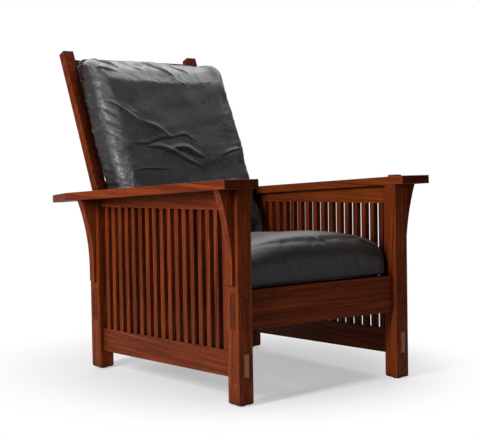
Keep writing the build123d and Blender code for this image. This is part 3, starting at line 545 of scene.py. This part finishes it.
def crease(x, y, line, width, height):
    """Height of one fold along a line: a soft ridge above it and a sharper valley."""
    best = np.full(len(x), 1e9)
    side = np.zeros(len(x))
    place = np.zeros(len(x))
    points = np.array(line, float) * MM
    steps = len(points) - 1
    for number in range(steps):
        start, end = points[number], points[number + 1]
        run = end - start
        share = np.clip(((x - start[0]) * run[0] + (y - start[1]) * run[1]) / (run @ run),
                        0, 1)
        away_x, away_y = x - start[0] - share * run[0], y - start[1] - share * run[1]
        distance = np.hypot(away_x, away_y)
        closer = distance < best
        best = np.where(closer, distance, best)
        cross = run[0] * away_y - run[1] * away_x
        side = np.where(closer, np.sign(cross), side)
        place = np.where(closer, (number + share) / steps, place)
    fade = np.sin(np.pi * np.clip(place, 0.01, 0.99)) ** 0.7
    signed = best * side / (width * MM * (0.5 + 0.5 * fade))
    ridge = np.exp(-((signed - 0.9) / 1.1) ** 2) - 0.9 * np.exp(-((signed + 0.25) / 0.5) ** 2)
    return ridge * fade * height * MM


def gathers(place, depth, draw, span, pitch, reach, width, height, lean):
    """Small folds that start at a seam: place runs along it and depth away from it."""
    total = np.zeros(len(place))
    at = span[0]
    while at < span[1]:
        length = draw.uniform(*reach) * MM
        drift = draw.uniform(*lean)
        thick = draw.uniform(*width) * MM
        tall = draw.uniform(*height) * MM * draw.choice((1, 1, -0.8))
        middle = at * MM + drift * depth
        fade = smooth_step(depth, 2 * MM, 25 * MM) * (1 - smooth_step(
            depth, length * 0.4, length))
        away = (place - middle) / (thick * (0.6 + depth / length))
        total += tall * fade * np.exp(-away ** 2)
        at += draw.uniform(*pitch)
    return total


def tube(name, points, radius, material, space):
    """A closed welt: a round cord in leather, along points of a panel."""
    curve = bpy.data.curves.new(name, "CURVE")
    curve.dimensions = "3D"
    spline = curve.splines.new("NURBS")
    spline.points.add(len(points) - 1)
    matrix = np.array(space)
    for point, spot in zip(spline.points, points):
        point.co = (*(matrix[:3, :3] @ np.array(spot) + matrix[:3, 3]), 1.0)
    spline.use_cyclic_u = True
    spline.order_u = 4
    spline.resolution_u = 4
    curve.bevel_depth = radius
    curve.bevel_resolution = 3
    piece = bpy.data.objects.new(name, curve)
    bpy.context.scene.collection.objects.link(piece)
    activate(piece)
    bpy.ops.object.convert(target="MESH")
    piece = bpy.context.object
    cover(piece, material)
    return piece


# Settings

def colour_property(name, description, value):
    return FloatVectorProperty(name=name, description=description, default=value,
                               subtype="COLOR", size=3, min=0.0, max=1.0)


def factor_property(name, description, value):
    return FloatProperty(name=name, description=description, default=value, min=0.0,
                         max=1.0, subtype="FACTOR")


def length_property(name, description, value):
    return FloatProperty(name=name, description=description, default=value, min=0.0,
                         unit="LENGTH")


class RECLINER_PG_finishes(bpy.types.PropertyGroup):
    dark_stain: colour_property("Dark stain", "Darkest bands of the oak",
                                (0.075, 0.0125, 0.0030))
    mid_stain: colour_property("Mid stain", "Middle bands of the oak",
                               (0.122, 0.0200, 0.0042))
    light_stain: colour_property("Light stain", "Light bands of the oak",
                                 (0.172, 0.0310, 0.0062))
    pale_stain: colour_property("Pale stain", "Palest bands of the oak",
                                (0.235, 0.0480, 0.0095))
    fleck: colour_property("Ray fleck", "Flecks across quartersawn faces",
                           (0.250, 0.0640, 0.0160))
    pore: colour_property("Pore", "Stain settled in the open pores",
                          (0.020, 0.0045, 0.0020))
    end_stain: colour_property("End grain", "Darker stain in end grain",
                               (0.034, 0.008, 0.004))
    # Partly stain rubbed thin and partly a painted highlight along the edges
    worn_and_highlit: colour_property("Worn arris", "Stain rubbed thin along the edges",
                          (0.520, 0.210, 0.100))
    tenon_end: colour_property("Tenon end", "Paler end grain of the through tenons",
                               (0.330, 0.150, 0.105))
    plum_board: colour_property("Plum spindle", "Factor of the coolest spindles",
                                (0.56, 0.50, 0.60))
    cool_board: colour_property("Cool spindle", "Factor of cooler spindles",
                                (0.80, 0.74, 0.72))
    warm_board: colour_property("Warm spindle", "Factor of warmer spindles",
                                (1.0, 0.95, 0.86))
    orange_board: colour_property("Orange spindle", "Factor of the warmest spindles",
                                  (1.00, 1.00, 0.88))
    deck_wood: colour_property("Deck wood", "Factor of the hidden seat slats",
                               (0.9, 1.05, 1.2))
    end_grain: factor_property("End grain", "How dark end grain turns", 0.75)
    # How far the arrises lighten, as wear and as a painted highlight
    wear_and_highlight: factor_property("Wear_and_highlight", "How far the arrises are rubbed", 0.45)
    # Painted shade in corners and gaps: how far it reaches, and how light the colour stays in
    # the deepest of them
    crevice: length_property("Crevice", "Reach of the darkened corners", 45 * MM)
    painted_shade_floor: factor_property("Painted_shade", "How light the deepest corners stay", 0.06)
    arris: length_property("Arris", "Radius of the softened edges", 1.6 * MM)
    shine: factor_property("Wood shine", "Specular level of the wood", 0.07)
    dark_steel: colour_property("Dark steel", "Darker patches of the steel",
                                (0.045, 0.042, 0.040))
    steel: colour_property("Steel", "Lighter patches of the steel", (0.14, 0.13, 0.12))
    nylon: colour_property("Nylon", "Nylon of the glides", (0.030, 0.022, 0.018))
    scuffs: colour_property("Scuffs", "Scuffed nylon of the glides", (0.11, 0.08, 0.06))
    leather_dark: colour_property("Dark leather", "Deeper patches of the leather",
                                  (0.0065, 0.0060, 0.0060))
    leather_light: colour_property("Light leather", "Paler patches of the leather",
                                   (0.0110, 0.0100, 0.0098))
    leather_seam: colour_property("Leather grain lines", "Between the leather's pebbles",
                                  (0.004, 0.004, 0.004))
    leather_roughness: factor_property("Leather roughness", "Roughness of the leather",
                                       0.24)
    leather_coat: factor_property("Leather coat", "Glossier finish over the leather", 0.65)
    coat_roughness: factor_property("Coat roughness", "Roughness of that finish", 0.13)
    seat_dullness: factor_property("Seat dullness", "How much rougher the seat's leather is",
                                   0.13)
    leather_shine: factor_property("Leather shine", "Specular level of the leather", 0.6)
    leather_bump: factor_property("Leather grain", "Strength of the leather's grain", 0.5)
    pebbles: FloatProperty(name="Pebbles", description="Grain cells of leather per metre",
                           default=620.0, min=1.0)


class RECLINER_PG_cushions(bpy.types.PropertyGroup):
    voxel: FloatProperty(name="Voxel", description="Edge length of the padded meshes",
                         default=7.0 * MM, min=1 * MM, unit="LENGTH")
    inset: length_property("Inset", "How much smaller a cushion starts", 2.0 * MM)
    pressure: FloatProperty(name="Pressure", description="Air pressure that fills them",
                            default=4.0, min=0.0)
    frames: IntProperty(name="Frames", description="Frames of the simulation",
                        default=20, min=1)
    puff_limit: length_property("Puff limit", "Farthest a point may move", 7.0 * MM)
    welt: length_property("Welt", "Radius of the welts", 3.4 * MM)


class RECLINER_PG_studio(bpy.types.PropertyGroup):
    floor: colour_property("Floor", "Colour of the studio floor", (0.80, 0.80, 0.80))
    key: FloatProperty(name="Key light", description="Softbox at the chair's left",
                       default=150.0, min=0.0, unit="POWER")
    top: FloatProperty(name="Top light", description="Softbox over the chair",
                       default=72.0, min=0.0, unit="POWER")
    side: FloatProperty(name="Side light", description="Faint light at the far side",
                        default=2.5, min=0.0, unit="POWER")
    fill: FloatProperty(name="Fill", description="Strength of the light all round",
                        default=0.10, min=0.0)
    dark_room: factor_property("Dark room", "How light the room is behind the camera",
                               0.06)
    mirrored_room: factor_property("Mirrored room", "How light gloss shows the backdrop",
                                   0.40)
    lens: FloatProperty(name="Lens", description="Focal length of the camera",
                        default=87.02, min=1.0, unit="CAMERA")


# Operators

class RECLINER_OT_wood(bpy.types.Operator):
    """Finish the oak frame and the slats under the cushions"""
    bl_idname = "recliner.wood"
    bl_label = "Finish Wood"

    def execute(self, context):
        settings = context.scene.recliner_finishes
        group = oak_group(settings)
        plain = (1.0, 1.0, 1.0)
        for starts, direction in ((UPRIGHTS, ALONG_Z), (FORE_AND_AFT, ALONG_Y),
                                  (CROSSWAYS, ALONG_X)):
            for name, node in nodes_named(*starts):
                draw = random.Random(f"board {name}")
                lean = BACK_LEAN if name.startswith("back_") else CHAIR_LEAN
                paint(node, wood_material(
                    name, group, settings, direction,
                    (1.0, draw.uniform(0.93, 1.05), draw.uniform(0.88, 1.05)),
                    draw.uniform(0.88, 1.06), lean,
                    tenon=name.startswith("lower_side_rail")))
        for name, node in nodes_named("back_stile_"):
            paint(node, wood_material(name, group, settings, ALONG_Z,
                                      (1.0, 0.90, 0.88), 0.86, BACK_LEAN))
        for name, node in nodes_named("spindles_"):
            low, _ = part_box(name)
            rows = (low.y - SPINDLE_ROW_START, SPINDLE_PITCH)
            paint(node, wood_material(name, group, settings, ALONG_Z, plain, 1.0,
                                      CHAIR_LEAN, rows))
        for name, node in nodes_named(*DECK):
            paint(node, wood_material(
                name, group, settings,
                ALONG_Y if name.startswith("side") else ALONG_X,
                tuple(settings.deck_wood), 0.8))
        dark = wood_material("plug oak", group, settings, ALONG_X, (0.8, 0.7, 0.7), 0.6)
        turned = wood_material("peg oak", group, settings, ALONG_X, plain, 0.8)
        for _, node in nodes_named("joint_pins", "corbel_plugs"):
            paint(node, dark)
        for _, node in nodes_named("support_peg_"):
            paint(node, turned)
        return {"FINISHED"}


class RECLINER_OT_hardware(bpy.types.Operator):
    """Finish the hinges, screws and glides"""
    bl_idname = "recliner.hardware"
    bl_label = "Finish Hardware"

    def execute(self, context):
        settings = context.scene.recliner_finishes
        steel = steel_material(settings)
        for _, node in nodes_named(*STEEL):
            paint(node, steel)
        for _, node in nodes_named("leg_glides"):
            paint(node, nylon_material(settings))
        return {"FINISHED"}


class RECLINER_OT_back_cushion(bpy.types.Operator):
    """Make the back cushion with its gathers, creases and welt"""
    bl_idname = "recliner.back_cushion"
    bl_label = "Make Back Cushion"

    side_gathers = {"span": (130, 900), "pitch": (15, 32), "reach": (120, 280),
                    "width": (5.0, 10.0), "height": (1.6, 4.0), "lean": (-0.75, -0.15)}
    top_gathers = {"span": (-260, 240), "pitch": (24, 50), "reach": (60, 170),
                   "width": (6.0, 10.5), "height": (1.4, 3.4), "lean": (0.0, 0.7)}
    creases = (
        (((-165, 515), (-126, 488), (-88, 464), (-45, 436)), 9, 3.5),
        (((-160, 417), (-96, 405), (-47, 386), (-10, 357), (53, 332)), 11, 5.0),
        (((-52, 404), (7, 396), (64, 366)), 13, 5.5),
        (((-45, 450), (11, 457), (55, 430)), 8, 2.0),
        (((-205, 425), (-145, 424), (-76, 443), (-30, 449)), 9, 2.0),
        (((140, 372), (208, 392), (262, 404)), 7, 2.2),
        (((-224, 330), (-154, 329), (-80, 326)), 7, 1.2),
        (((-275, 598), (-231, 581), (-180, 542), (-139, 497)), 10, 2.2),
        (((-25, 790), (-4, 745), (17, 708), (42, 665)), 8, 4.5),
        (((70, 770), (92, 735), (116, 700)), 8, 3.0),
        (((15, 672), (70, 645)), 7, 1.5),
        (((-104, 755), (-90, 730), (-72, 705)), 8, 2.0),
        (((-240, 765), (-200, 757), (-157, 722)), 9, 5.0),
        (((-270, 716), (-220, 711), (-175, 700)), 9, 3.0),
    )
    # In millimetres across, along and out of the back: the stuffed corners, the bulge
    # of the right side, and how far the lower end hangs down to the seat
    ear_place, ear_push, ear_size = (262, 752, 128), (5, 12, 10), 50
    shoulder_push, shoulder_height, shoulder_size = (8, 0, 9), 145, 55
    sag, sag_span = 18, (100, 260)
    crease_widths, crease_heights = 0.85, 1.25
    right_side_gathers = 0.45
    half_width, length = 270, 800

    # The flat rim that the welt is sewn to, half widths in millimetres
    rim_from, rim_to, rim_width, inner_rim = 200, 232, 246.8, 244.0
    rim_step, rim_height = 5, 7
    groove_height, groove_size, groove_depth = 9, 4, 3
    waist_width, waist_height, waist_slope, waist_span = 247.0, 11, 1.3, (14, 30)
    arm_limit, arm_give = 281, 4.5

    # The welt's path: its ends along the back and its half widths there, in metres
    welt_ends, welt_sides, welt_turn = (0.150, 0.811), (0.2427, 0.2458), 0.05
    welt_lift = 5.2

    def execute(self, context):
        settings = context.scene.recliner_cushions
        finishes = context.scene.recliner_finishes
        space = back_space()
        piece = soft_copy("back_cushion", "back_cushion_leather", settings.voxel,
                          settings.inset)
        local = into(space, read_points(piece))
        puff(piece, settings, local[:, 2] < STILE_FRONT + settings.inset + 4 * MM)
        apply_modifier(piece, "SUBSURF", levels=1, render_levels=1)
        self.fold(piece, space)
        self.settle(piece, space)
        cover(piece, leather_material("back leather", finishes))
        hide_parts("back_cushion")
        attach(piece, "back")
        self.welt(settings, finishes, space)
        return {"FINISHED"}

    def fold(self, piece, space):
        local = into(space, read_points(piece))
        draw = random.Random("back cushion")
        for hand in (-1, 1):
            place = np.array(self.ear_place) * (hand, 1, 1) * MM
            away = np.linalg.norm(local - place, axis=1) / (self.ear_size * MM)
            push = np.array(self.ear_push) * (hand, 1, 1) * MM
            local += np.exp(-away ** 2)[:, None] * push
        low, high = np.array(self.sag_span) * MM
        sag = 1 - smooth_step(local[:, 1], low, high)
        sag *= smooth_step(local[:, 2], STILE_FRONT + 5 * MM, STILE_FRONT + 60 * MM)
        local[:, 1] -= sag * self.sag * MM
        reach = np.exp(-((local[:, 2] / MM - self.shoulder_height)
                         / self.shoulder_size) ** 2)
        reach *= smooth_step(local[:, 0], 0.10, 0.25)
        local += reach[:, None] * np.array(self.shoulder_push) * MM
        write_points(piece, out_of(space, local))
        normals = read_normals(piece)
        wander = np.column_stack([waves(local, draw, (60, 180), 4.0) for _ in range(2)])
        x, along, out = local.T
        crease_x, crease_along = x + wander[:, 0], along + wander[:, 1]
        front = smooth_step(out, STILE_FRONT + 25 * MM, STILE_FRONT + 80 * MM)
        height = waves(local, draw, (70, 220), 1.6) + waves(local, draw, (25, 60), 0.25)
        height *= smooth_step(out, STILE_FRONT + 4 * MM, STILE_FRONT + 40 * MM)
        depth = out - STILE_FRONT - 4 * MM
        for hand in (-1, 1):
            inward = depth + np.maximum(0, self.half_width * MM - hand * x)
            near = smooth_step(hand * x, 0.0, 0.1)
            tall = 1.0 if hand < 0 else self.right_side_gathers
            height += near * tall * gathers(crease_along, inward, draw,
                                            **self.side_gathers)
        down = depth * 0.4 + np.maximum(0, self.length * MM - along)
        upper = smooth_step(along, 0.5, 0.6)
        height += upper * gathers(crease_x, down, draw, **self.top_gathers)
        for line, width, tall in self.creases:
            height += front * crease(crease_x, crease_along, line,
                                     width * self.crease_widths,
                                     tall * self.crease_heights)
        write_points(piece, out_of(space, local) + normals * height[:, None])

    def settle(self, piece, space):
        """Lays the cushion flat on the stiles, clear of the arms and out to its welt."""
        local = into(space, read_points(piece))
        local[:, 2] = np.maximum(local[:, 2], STILE_FRONT + SOFT_GAP)
        # The rim runs out to the welt, and its inner edge tucks in beside the stiles
        rim = np.exp(-((local[:, 2] - STILE_FRONT - 2 * MM) / (self.rim_height * MM)) ** 2)
        hand = np.sign(local[:, 0])
        wide = hand * local[:, 0]
        edge = smooth_step(wide, self.rim_from * MM, self.rim_to * MM)
        wide += edge * rim * np.maximum(0, self.rim_width * MM - wide)
        low = local[:, 2] - STILE_FRONT
        inner = (edge > 0.0) & (wide < self.inner_rim * MM) & (low < 4 * MM)
        local[:, 2] -= inner * self.rim_step * MM
        # A groove beside the welt, and above it a waist that widens to the full cushion
        groove = np.exp(-((low - self.groove_height * MM) / (self.groove_size * MM)) ** 2)
        waist = (self.waist_width - groove * self.groove_depth) * MM
        waist += np.maximum(0, low - self.waist_height * MM) * self.waist_slope
        narrow = 1 - smooth_step(low, *np.array(self.waist_span) * MM)
        wide -= np.maximum(0, wide - waist) * narrow
        # The arms stop it from bulging further
        over, give = np.maximum(0, wide - self.arm_limit * MM), self.arm_give * MM
        local[:, 0] = hand * (wide - over + give * np.tanh(over / give))
        write_points(piece, out_of(space, local))

    def welt(self, settings, finishes, space):
        """A welt round the rear face, a little wider at the top, with round corners."""
        out = STILE_FRONT + settings.welt + self.welt_lift * MM
        (low, high), (low_side, high_side) = self.welt_ends, self.welt_sides
        corners = ((low_side, low), (high_side, high), (-high_side, high),
                   (-low_side, low))
        points = []
        for number, (x, along) in enumerate(corners):
            before, after = corners[number - 1], corners[(number + 1) % 4]
            for other in (before, after):
                away = Vector((other[0] - x, other[1] - along))
                step = away.normalized() * self.welt_turn
                spots = [(x + step.x * share, along + step.y * share)
                         for share in (1.0, 0.45)]
                if other is after:
                    spots.reverse()
                points += [(px, pa, out) for px, pa in spots]
            run = Vector((after[0] - x, after[1] - along))
            points += [(x + run.x * share, along + run.y * share, out)
                       for share in (0.3, 0.5, 0.7)]
        material = leather_material("welt leather", finishes, welt=True)
        piece = tube("back_cushion_welt", points, settings.welt, material, space)
        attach(piece, "back")


class RECLINER_OT_seat_cushion(bpy.types.Operator):
    """Make the seat cushion with its gathers and creases"""
    bl_idname = "recliner.seat_cushion"
    bl_label = "Make Seat Cushion"

    side_gathers = {"span": (20, 640), "pitch": (24, 60), "reach": (50, 150),
                    "width": (7.0, 13.0), "height": (0.3, 1.2), "lean": (-0.7, 0.7)}
    front_gathers = {"span": (-270, 275), "pitch": (20, 46), "reach": (50, 130),
                     "width": (6.0, 11.0), "height": (0.5, 1.6), "lean": (-0.4, 0.4)}
    creases = (
        (((-230, 60), (-120, 48), (20, 42), (160, 52), (250, 80)), 16, 3.0),
        (((120, 150), (190, 110), (262, 60)), 12, 3.5),
        (((170, 60), (215, 40), (262, 30)), 9, 3.0),
    )
    half_width, front = 280, 15
    stretch, arm_limit = 1.012, 286.4

    def execute(self, context):
        settings = context.scene.recliner_cushions
        finishes = context.scene.recliner_finishes
        space = seat_space()
        piece = soft_copy("seat_cushion", "seat_cushion_leather", settings.voxel,
                          settings.inset)
        puff(piece, settings, np.zeros(len(piece.data.vertices), bool))
        apply_modifier(piece, "SUBSURF", levels=1, render_levels=1)
        self.fold(piece, space)
        self.settle(piece, space)
        cover(piece, leather_material("seat leather", finishes,
                                      dull=finishes.seat_dullness))
        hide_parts("seat_cushion")
        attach(piece, "frame")
        return {"FINISHED"}

    def fold(self, piece, space):
        points = read_points(piece)
        normals = read_normals(piece)
        x, along, up = into(space, points).T
        top = smooth_step(up, 60 * MM, 110 * MM)
        draw = random.Random("seat cushion")
        height = np.zeros(len(x))
        for hand in (-1, 1):
            inward = np.maximum(0, up - 8 * MM) + np.maximum(
                0, self.half_width * MM - hand * x)
            height += (hand * x > 0.05) * gathers(along, inward, draw, **self.side_gathers)
        inward = np.maximum(0, up - 8 * MM) + np.maximum(0, along - self.front * MM)
        height += (along < 0.3) * gathers(x, inward, draw, **self.front_gathers)
        for line, width, tall in self.creases:
            height += top * crease(x, along, line, width, tall)
        write_points(piece, points + normals * height[:, None])

    def settle(self, piece, space):
        """Lays the cushion flat on the slats and fills it out to the arms."""
        local = into(space, read_points(piece))
        local[:, 2] = np.maximum(local[:, 2], SOFT_GAP)
        limit = self.arm_limit * MM
        local[:, 0] = np.clip(local[:, 0] * self.stretch, -limit, limit)
        write_points(piece, out_of(space, local))


class RECLINER_OT_studio(bpy.types.Operator):
    """Add the floor, the lights, the background and the camera"""
    bl_idname = "recliner.studio"
    bl_label = "Add Studio"

    camera_place, camera_turn = (-2.33941, -3.01751, 0.73152), (86.414, 0.0, -38.771)

    def execute(self, context):
        settings = context.scene.recliner_studio
        self.floor(settings)
        self.world(context.scene, settings)
        for name, place, height, size, power in (
                ("key light", (-3.2, -0.80, 1.9), 0.5, (0.5, 1.9), settings.key),
                ("side light", (2.1, -1.6, 2.4), 0.7, (1.8, 1.4), settings.side),
                ("top light", (0.9, 1.3, 2.9), 0.4, (4.2, 3.4), settings.top)):
            self.lamp(name, place, (0, 0, height), size, power)
        deselect()
        bpy.ops.object.camera_add(location=self.camera_place,
                                  rotation=[math.radians(turn) for turn in self.camera_turn])
        camera = context.object
        camera.data.lens = settings.lens
        camera.data.sensor_width = 36.0
        context.scene.camera = camera
        context.scene.view_settings.view_transform = "Standard"
        return {"FINISHED"}

    def floor(self, settings):
        """Paper that takes shadows near the chair and shows as white farther out."""
        deselect()
        bpy.ops.mesh.primitive_plane_add(size=24.0, location=(0, 0, 0))
        floor = bpy.context.object
        floor.name = "studio_floor"
        material = bpy.data.materials.new("studio floor")
        material.use_nodes = True
        tree = material.node_tree
        tree.nodes.clear()
        output = tree.nodes.new("ShaderNodeOutputMaterial")
        paper = add_node(tree, "ShaderNodeBsdfDiffuse", {"Color": (*settings.floor, 1.0)})
        glow = add_node(tree, "ShaderNodeEmission", {"Color": (1, 1, 1, 1),
                                                     "Strength": 1.0})
        path = tree.nodes.new("ShaderNodeLightPath")
        mirrored = math_node(tree, "MULTIPLY", path.outputs["Is Glossy Ray"],
                             settings.dark_room)
        seen = math_node(tree, "ADD", path.outputs["Is Camera Ray"],
                         path.outputs["Is Transmission Ray"])
        seen = math_node(tree, "ADD", seen, mirrored, clamp=True)
        far = add_node(tree, "ShaderNodeVectorMath", {0: object_place(tree)},
                       operation="LENGTH").outputs["Value"]
        share = spread(tree, far, *FLOOR_GLOW)
        share = math_node(tree, "MULTIPLY", share, seen)
        shader = add_node(tree, "ShaderNodeMixShader", {
            0: share, 1: paper.outputs[0], 2: glow.outputs[0]})
        tree.links.new(shader.outputs[0], output.inputs["Surface"])
        floor.data.materials.append(material)

    def world(self, scene, settings):
        """White to the camera; gloss sees a dimmer backdrop and a dark room in front."""
        world = bpy.data.worlds.new("studio")
        scene.world = world
        world.use_nodes = True
        tree = world.node_tree
        tree.nodes.clear()
        output = tree.nodes.new("ShaderNodeOutputWorld")
        path = tree.nodes.new("ShaderNodeLightPath")
        direction = tree.nodes.new("ShaderNodeTexCoord").outputs["Generated"]
        rearward = add_node(tree, "ShaderNodeSeparateXYZ", {"Vector": direction}).outputs["Y"]
        lit = spread(tree, rearward, *FILL_TURN, settings.fill * FRONT_FILL,
                     settings.fill)
        room = spread(tree, rearward, *ROOM_TURN, settings.dark_room,
                      settings.mirrored_room)
        mirrored = math_node(tree, "MULTIPLY", room, path.outputs["Is Glossy Ray"])
        seen = math_node(tree, "ADD", path.outputs["Is Camera Ray"],
                         path.outputs["Is Transmission Ray"], clamp=True)
        strength = math_node(tree, "MAXIMUM", lit, mirrored)
        strength = math_node(tree, "MAXIMUM", strength, seen)
        background = add_node(tree, "ShaderNodeBackground", {
            "Color": (1, 1, 1, 1), "Strength": strength})
        tree.links.new(background.outputs[0], output.inputs["Surface"])

    def lamp(self, name, place, target, size, power):
        deselect()
        aim = (Vector(target) - Vector(place)).to_track_quat("-Z", "Y").to_euler()
        bpy.ops.object.light_add(type="AREA", location=place, rotation=aim)
        lamp = bpy.context.object
        lamp.name = name
        lamp.data.shape = "RECTANGLE"
        lamp.data.size, lamp.data.size_y = size
        lamp.data.energy = power


class RECLINER_PT_sidebar(bpy.types.Panel):
    """Recliner tools"""
    bl_idname = "RECLINER_PT_sidebar"
    bl_label = "Mission Recliner"
    bl_space_type = "VIEW_3D"
    bl_region_type = "UI"
    bl_category = "Recliner"

    def draw(self, context):
        for settings in (context.scene.recliner_finishes,
                         context.scene.recliner_cushions,
                         context.scene.recliner_studio):
            box = self.layout.box()
            for key in settings.__annotations__:
                box.prop(settings, key)
        for operator in OPERATORS:
            self.layout.operator(operator.bl_idname)


OPERATORS = (RECLINER_OT_wood, RECLINER_OT_hardware, RECLINER_OT_back_cushion,
             RECLINER_OT_seat_cushion, RECLINER_OT_studio)
CLASSES = (RECLINER_PG_finishes, RECLINER_PG_cushions, RECLINER_PG_studio, *OPERATORS,
           RECLINER_PT_sidebar)


def register():
    for item in CLASSES:
        bpy.utils.register_class(item)
    scene = bpy.types.Scene
    scene.recliner_finishes = PointerProperty(type=RECLINER_PG_finishes)
    scene.recliner_cushions = PointerProperty(type=RECLINER_PG_cushions)
    scene.recliner_studio = PointerProperty(type=RECLINER_PG_studio)


def unregister():
    scene = bpy.types.Scene
    del scene.recliner_studio, scene.recliner_cushions, scene.recliner_finishes
    for item in reversed(CLASSES):
        bpy.utils.unregister_class(item)


def main():
    register()
    bpy.ops.recliner.wood()
    bpy.ops.recliner.hardware()
    bpy.ops.recliner.back_cushion()
    bpy.ops.recliner.seat_cushion()
    bpy.ops.recliner.studio()


if __name__ == "__main__":
    main()
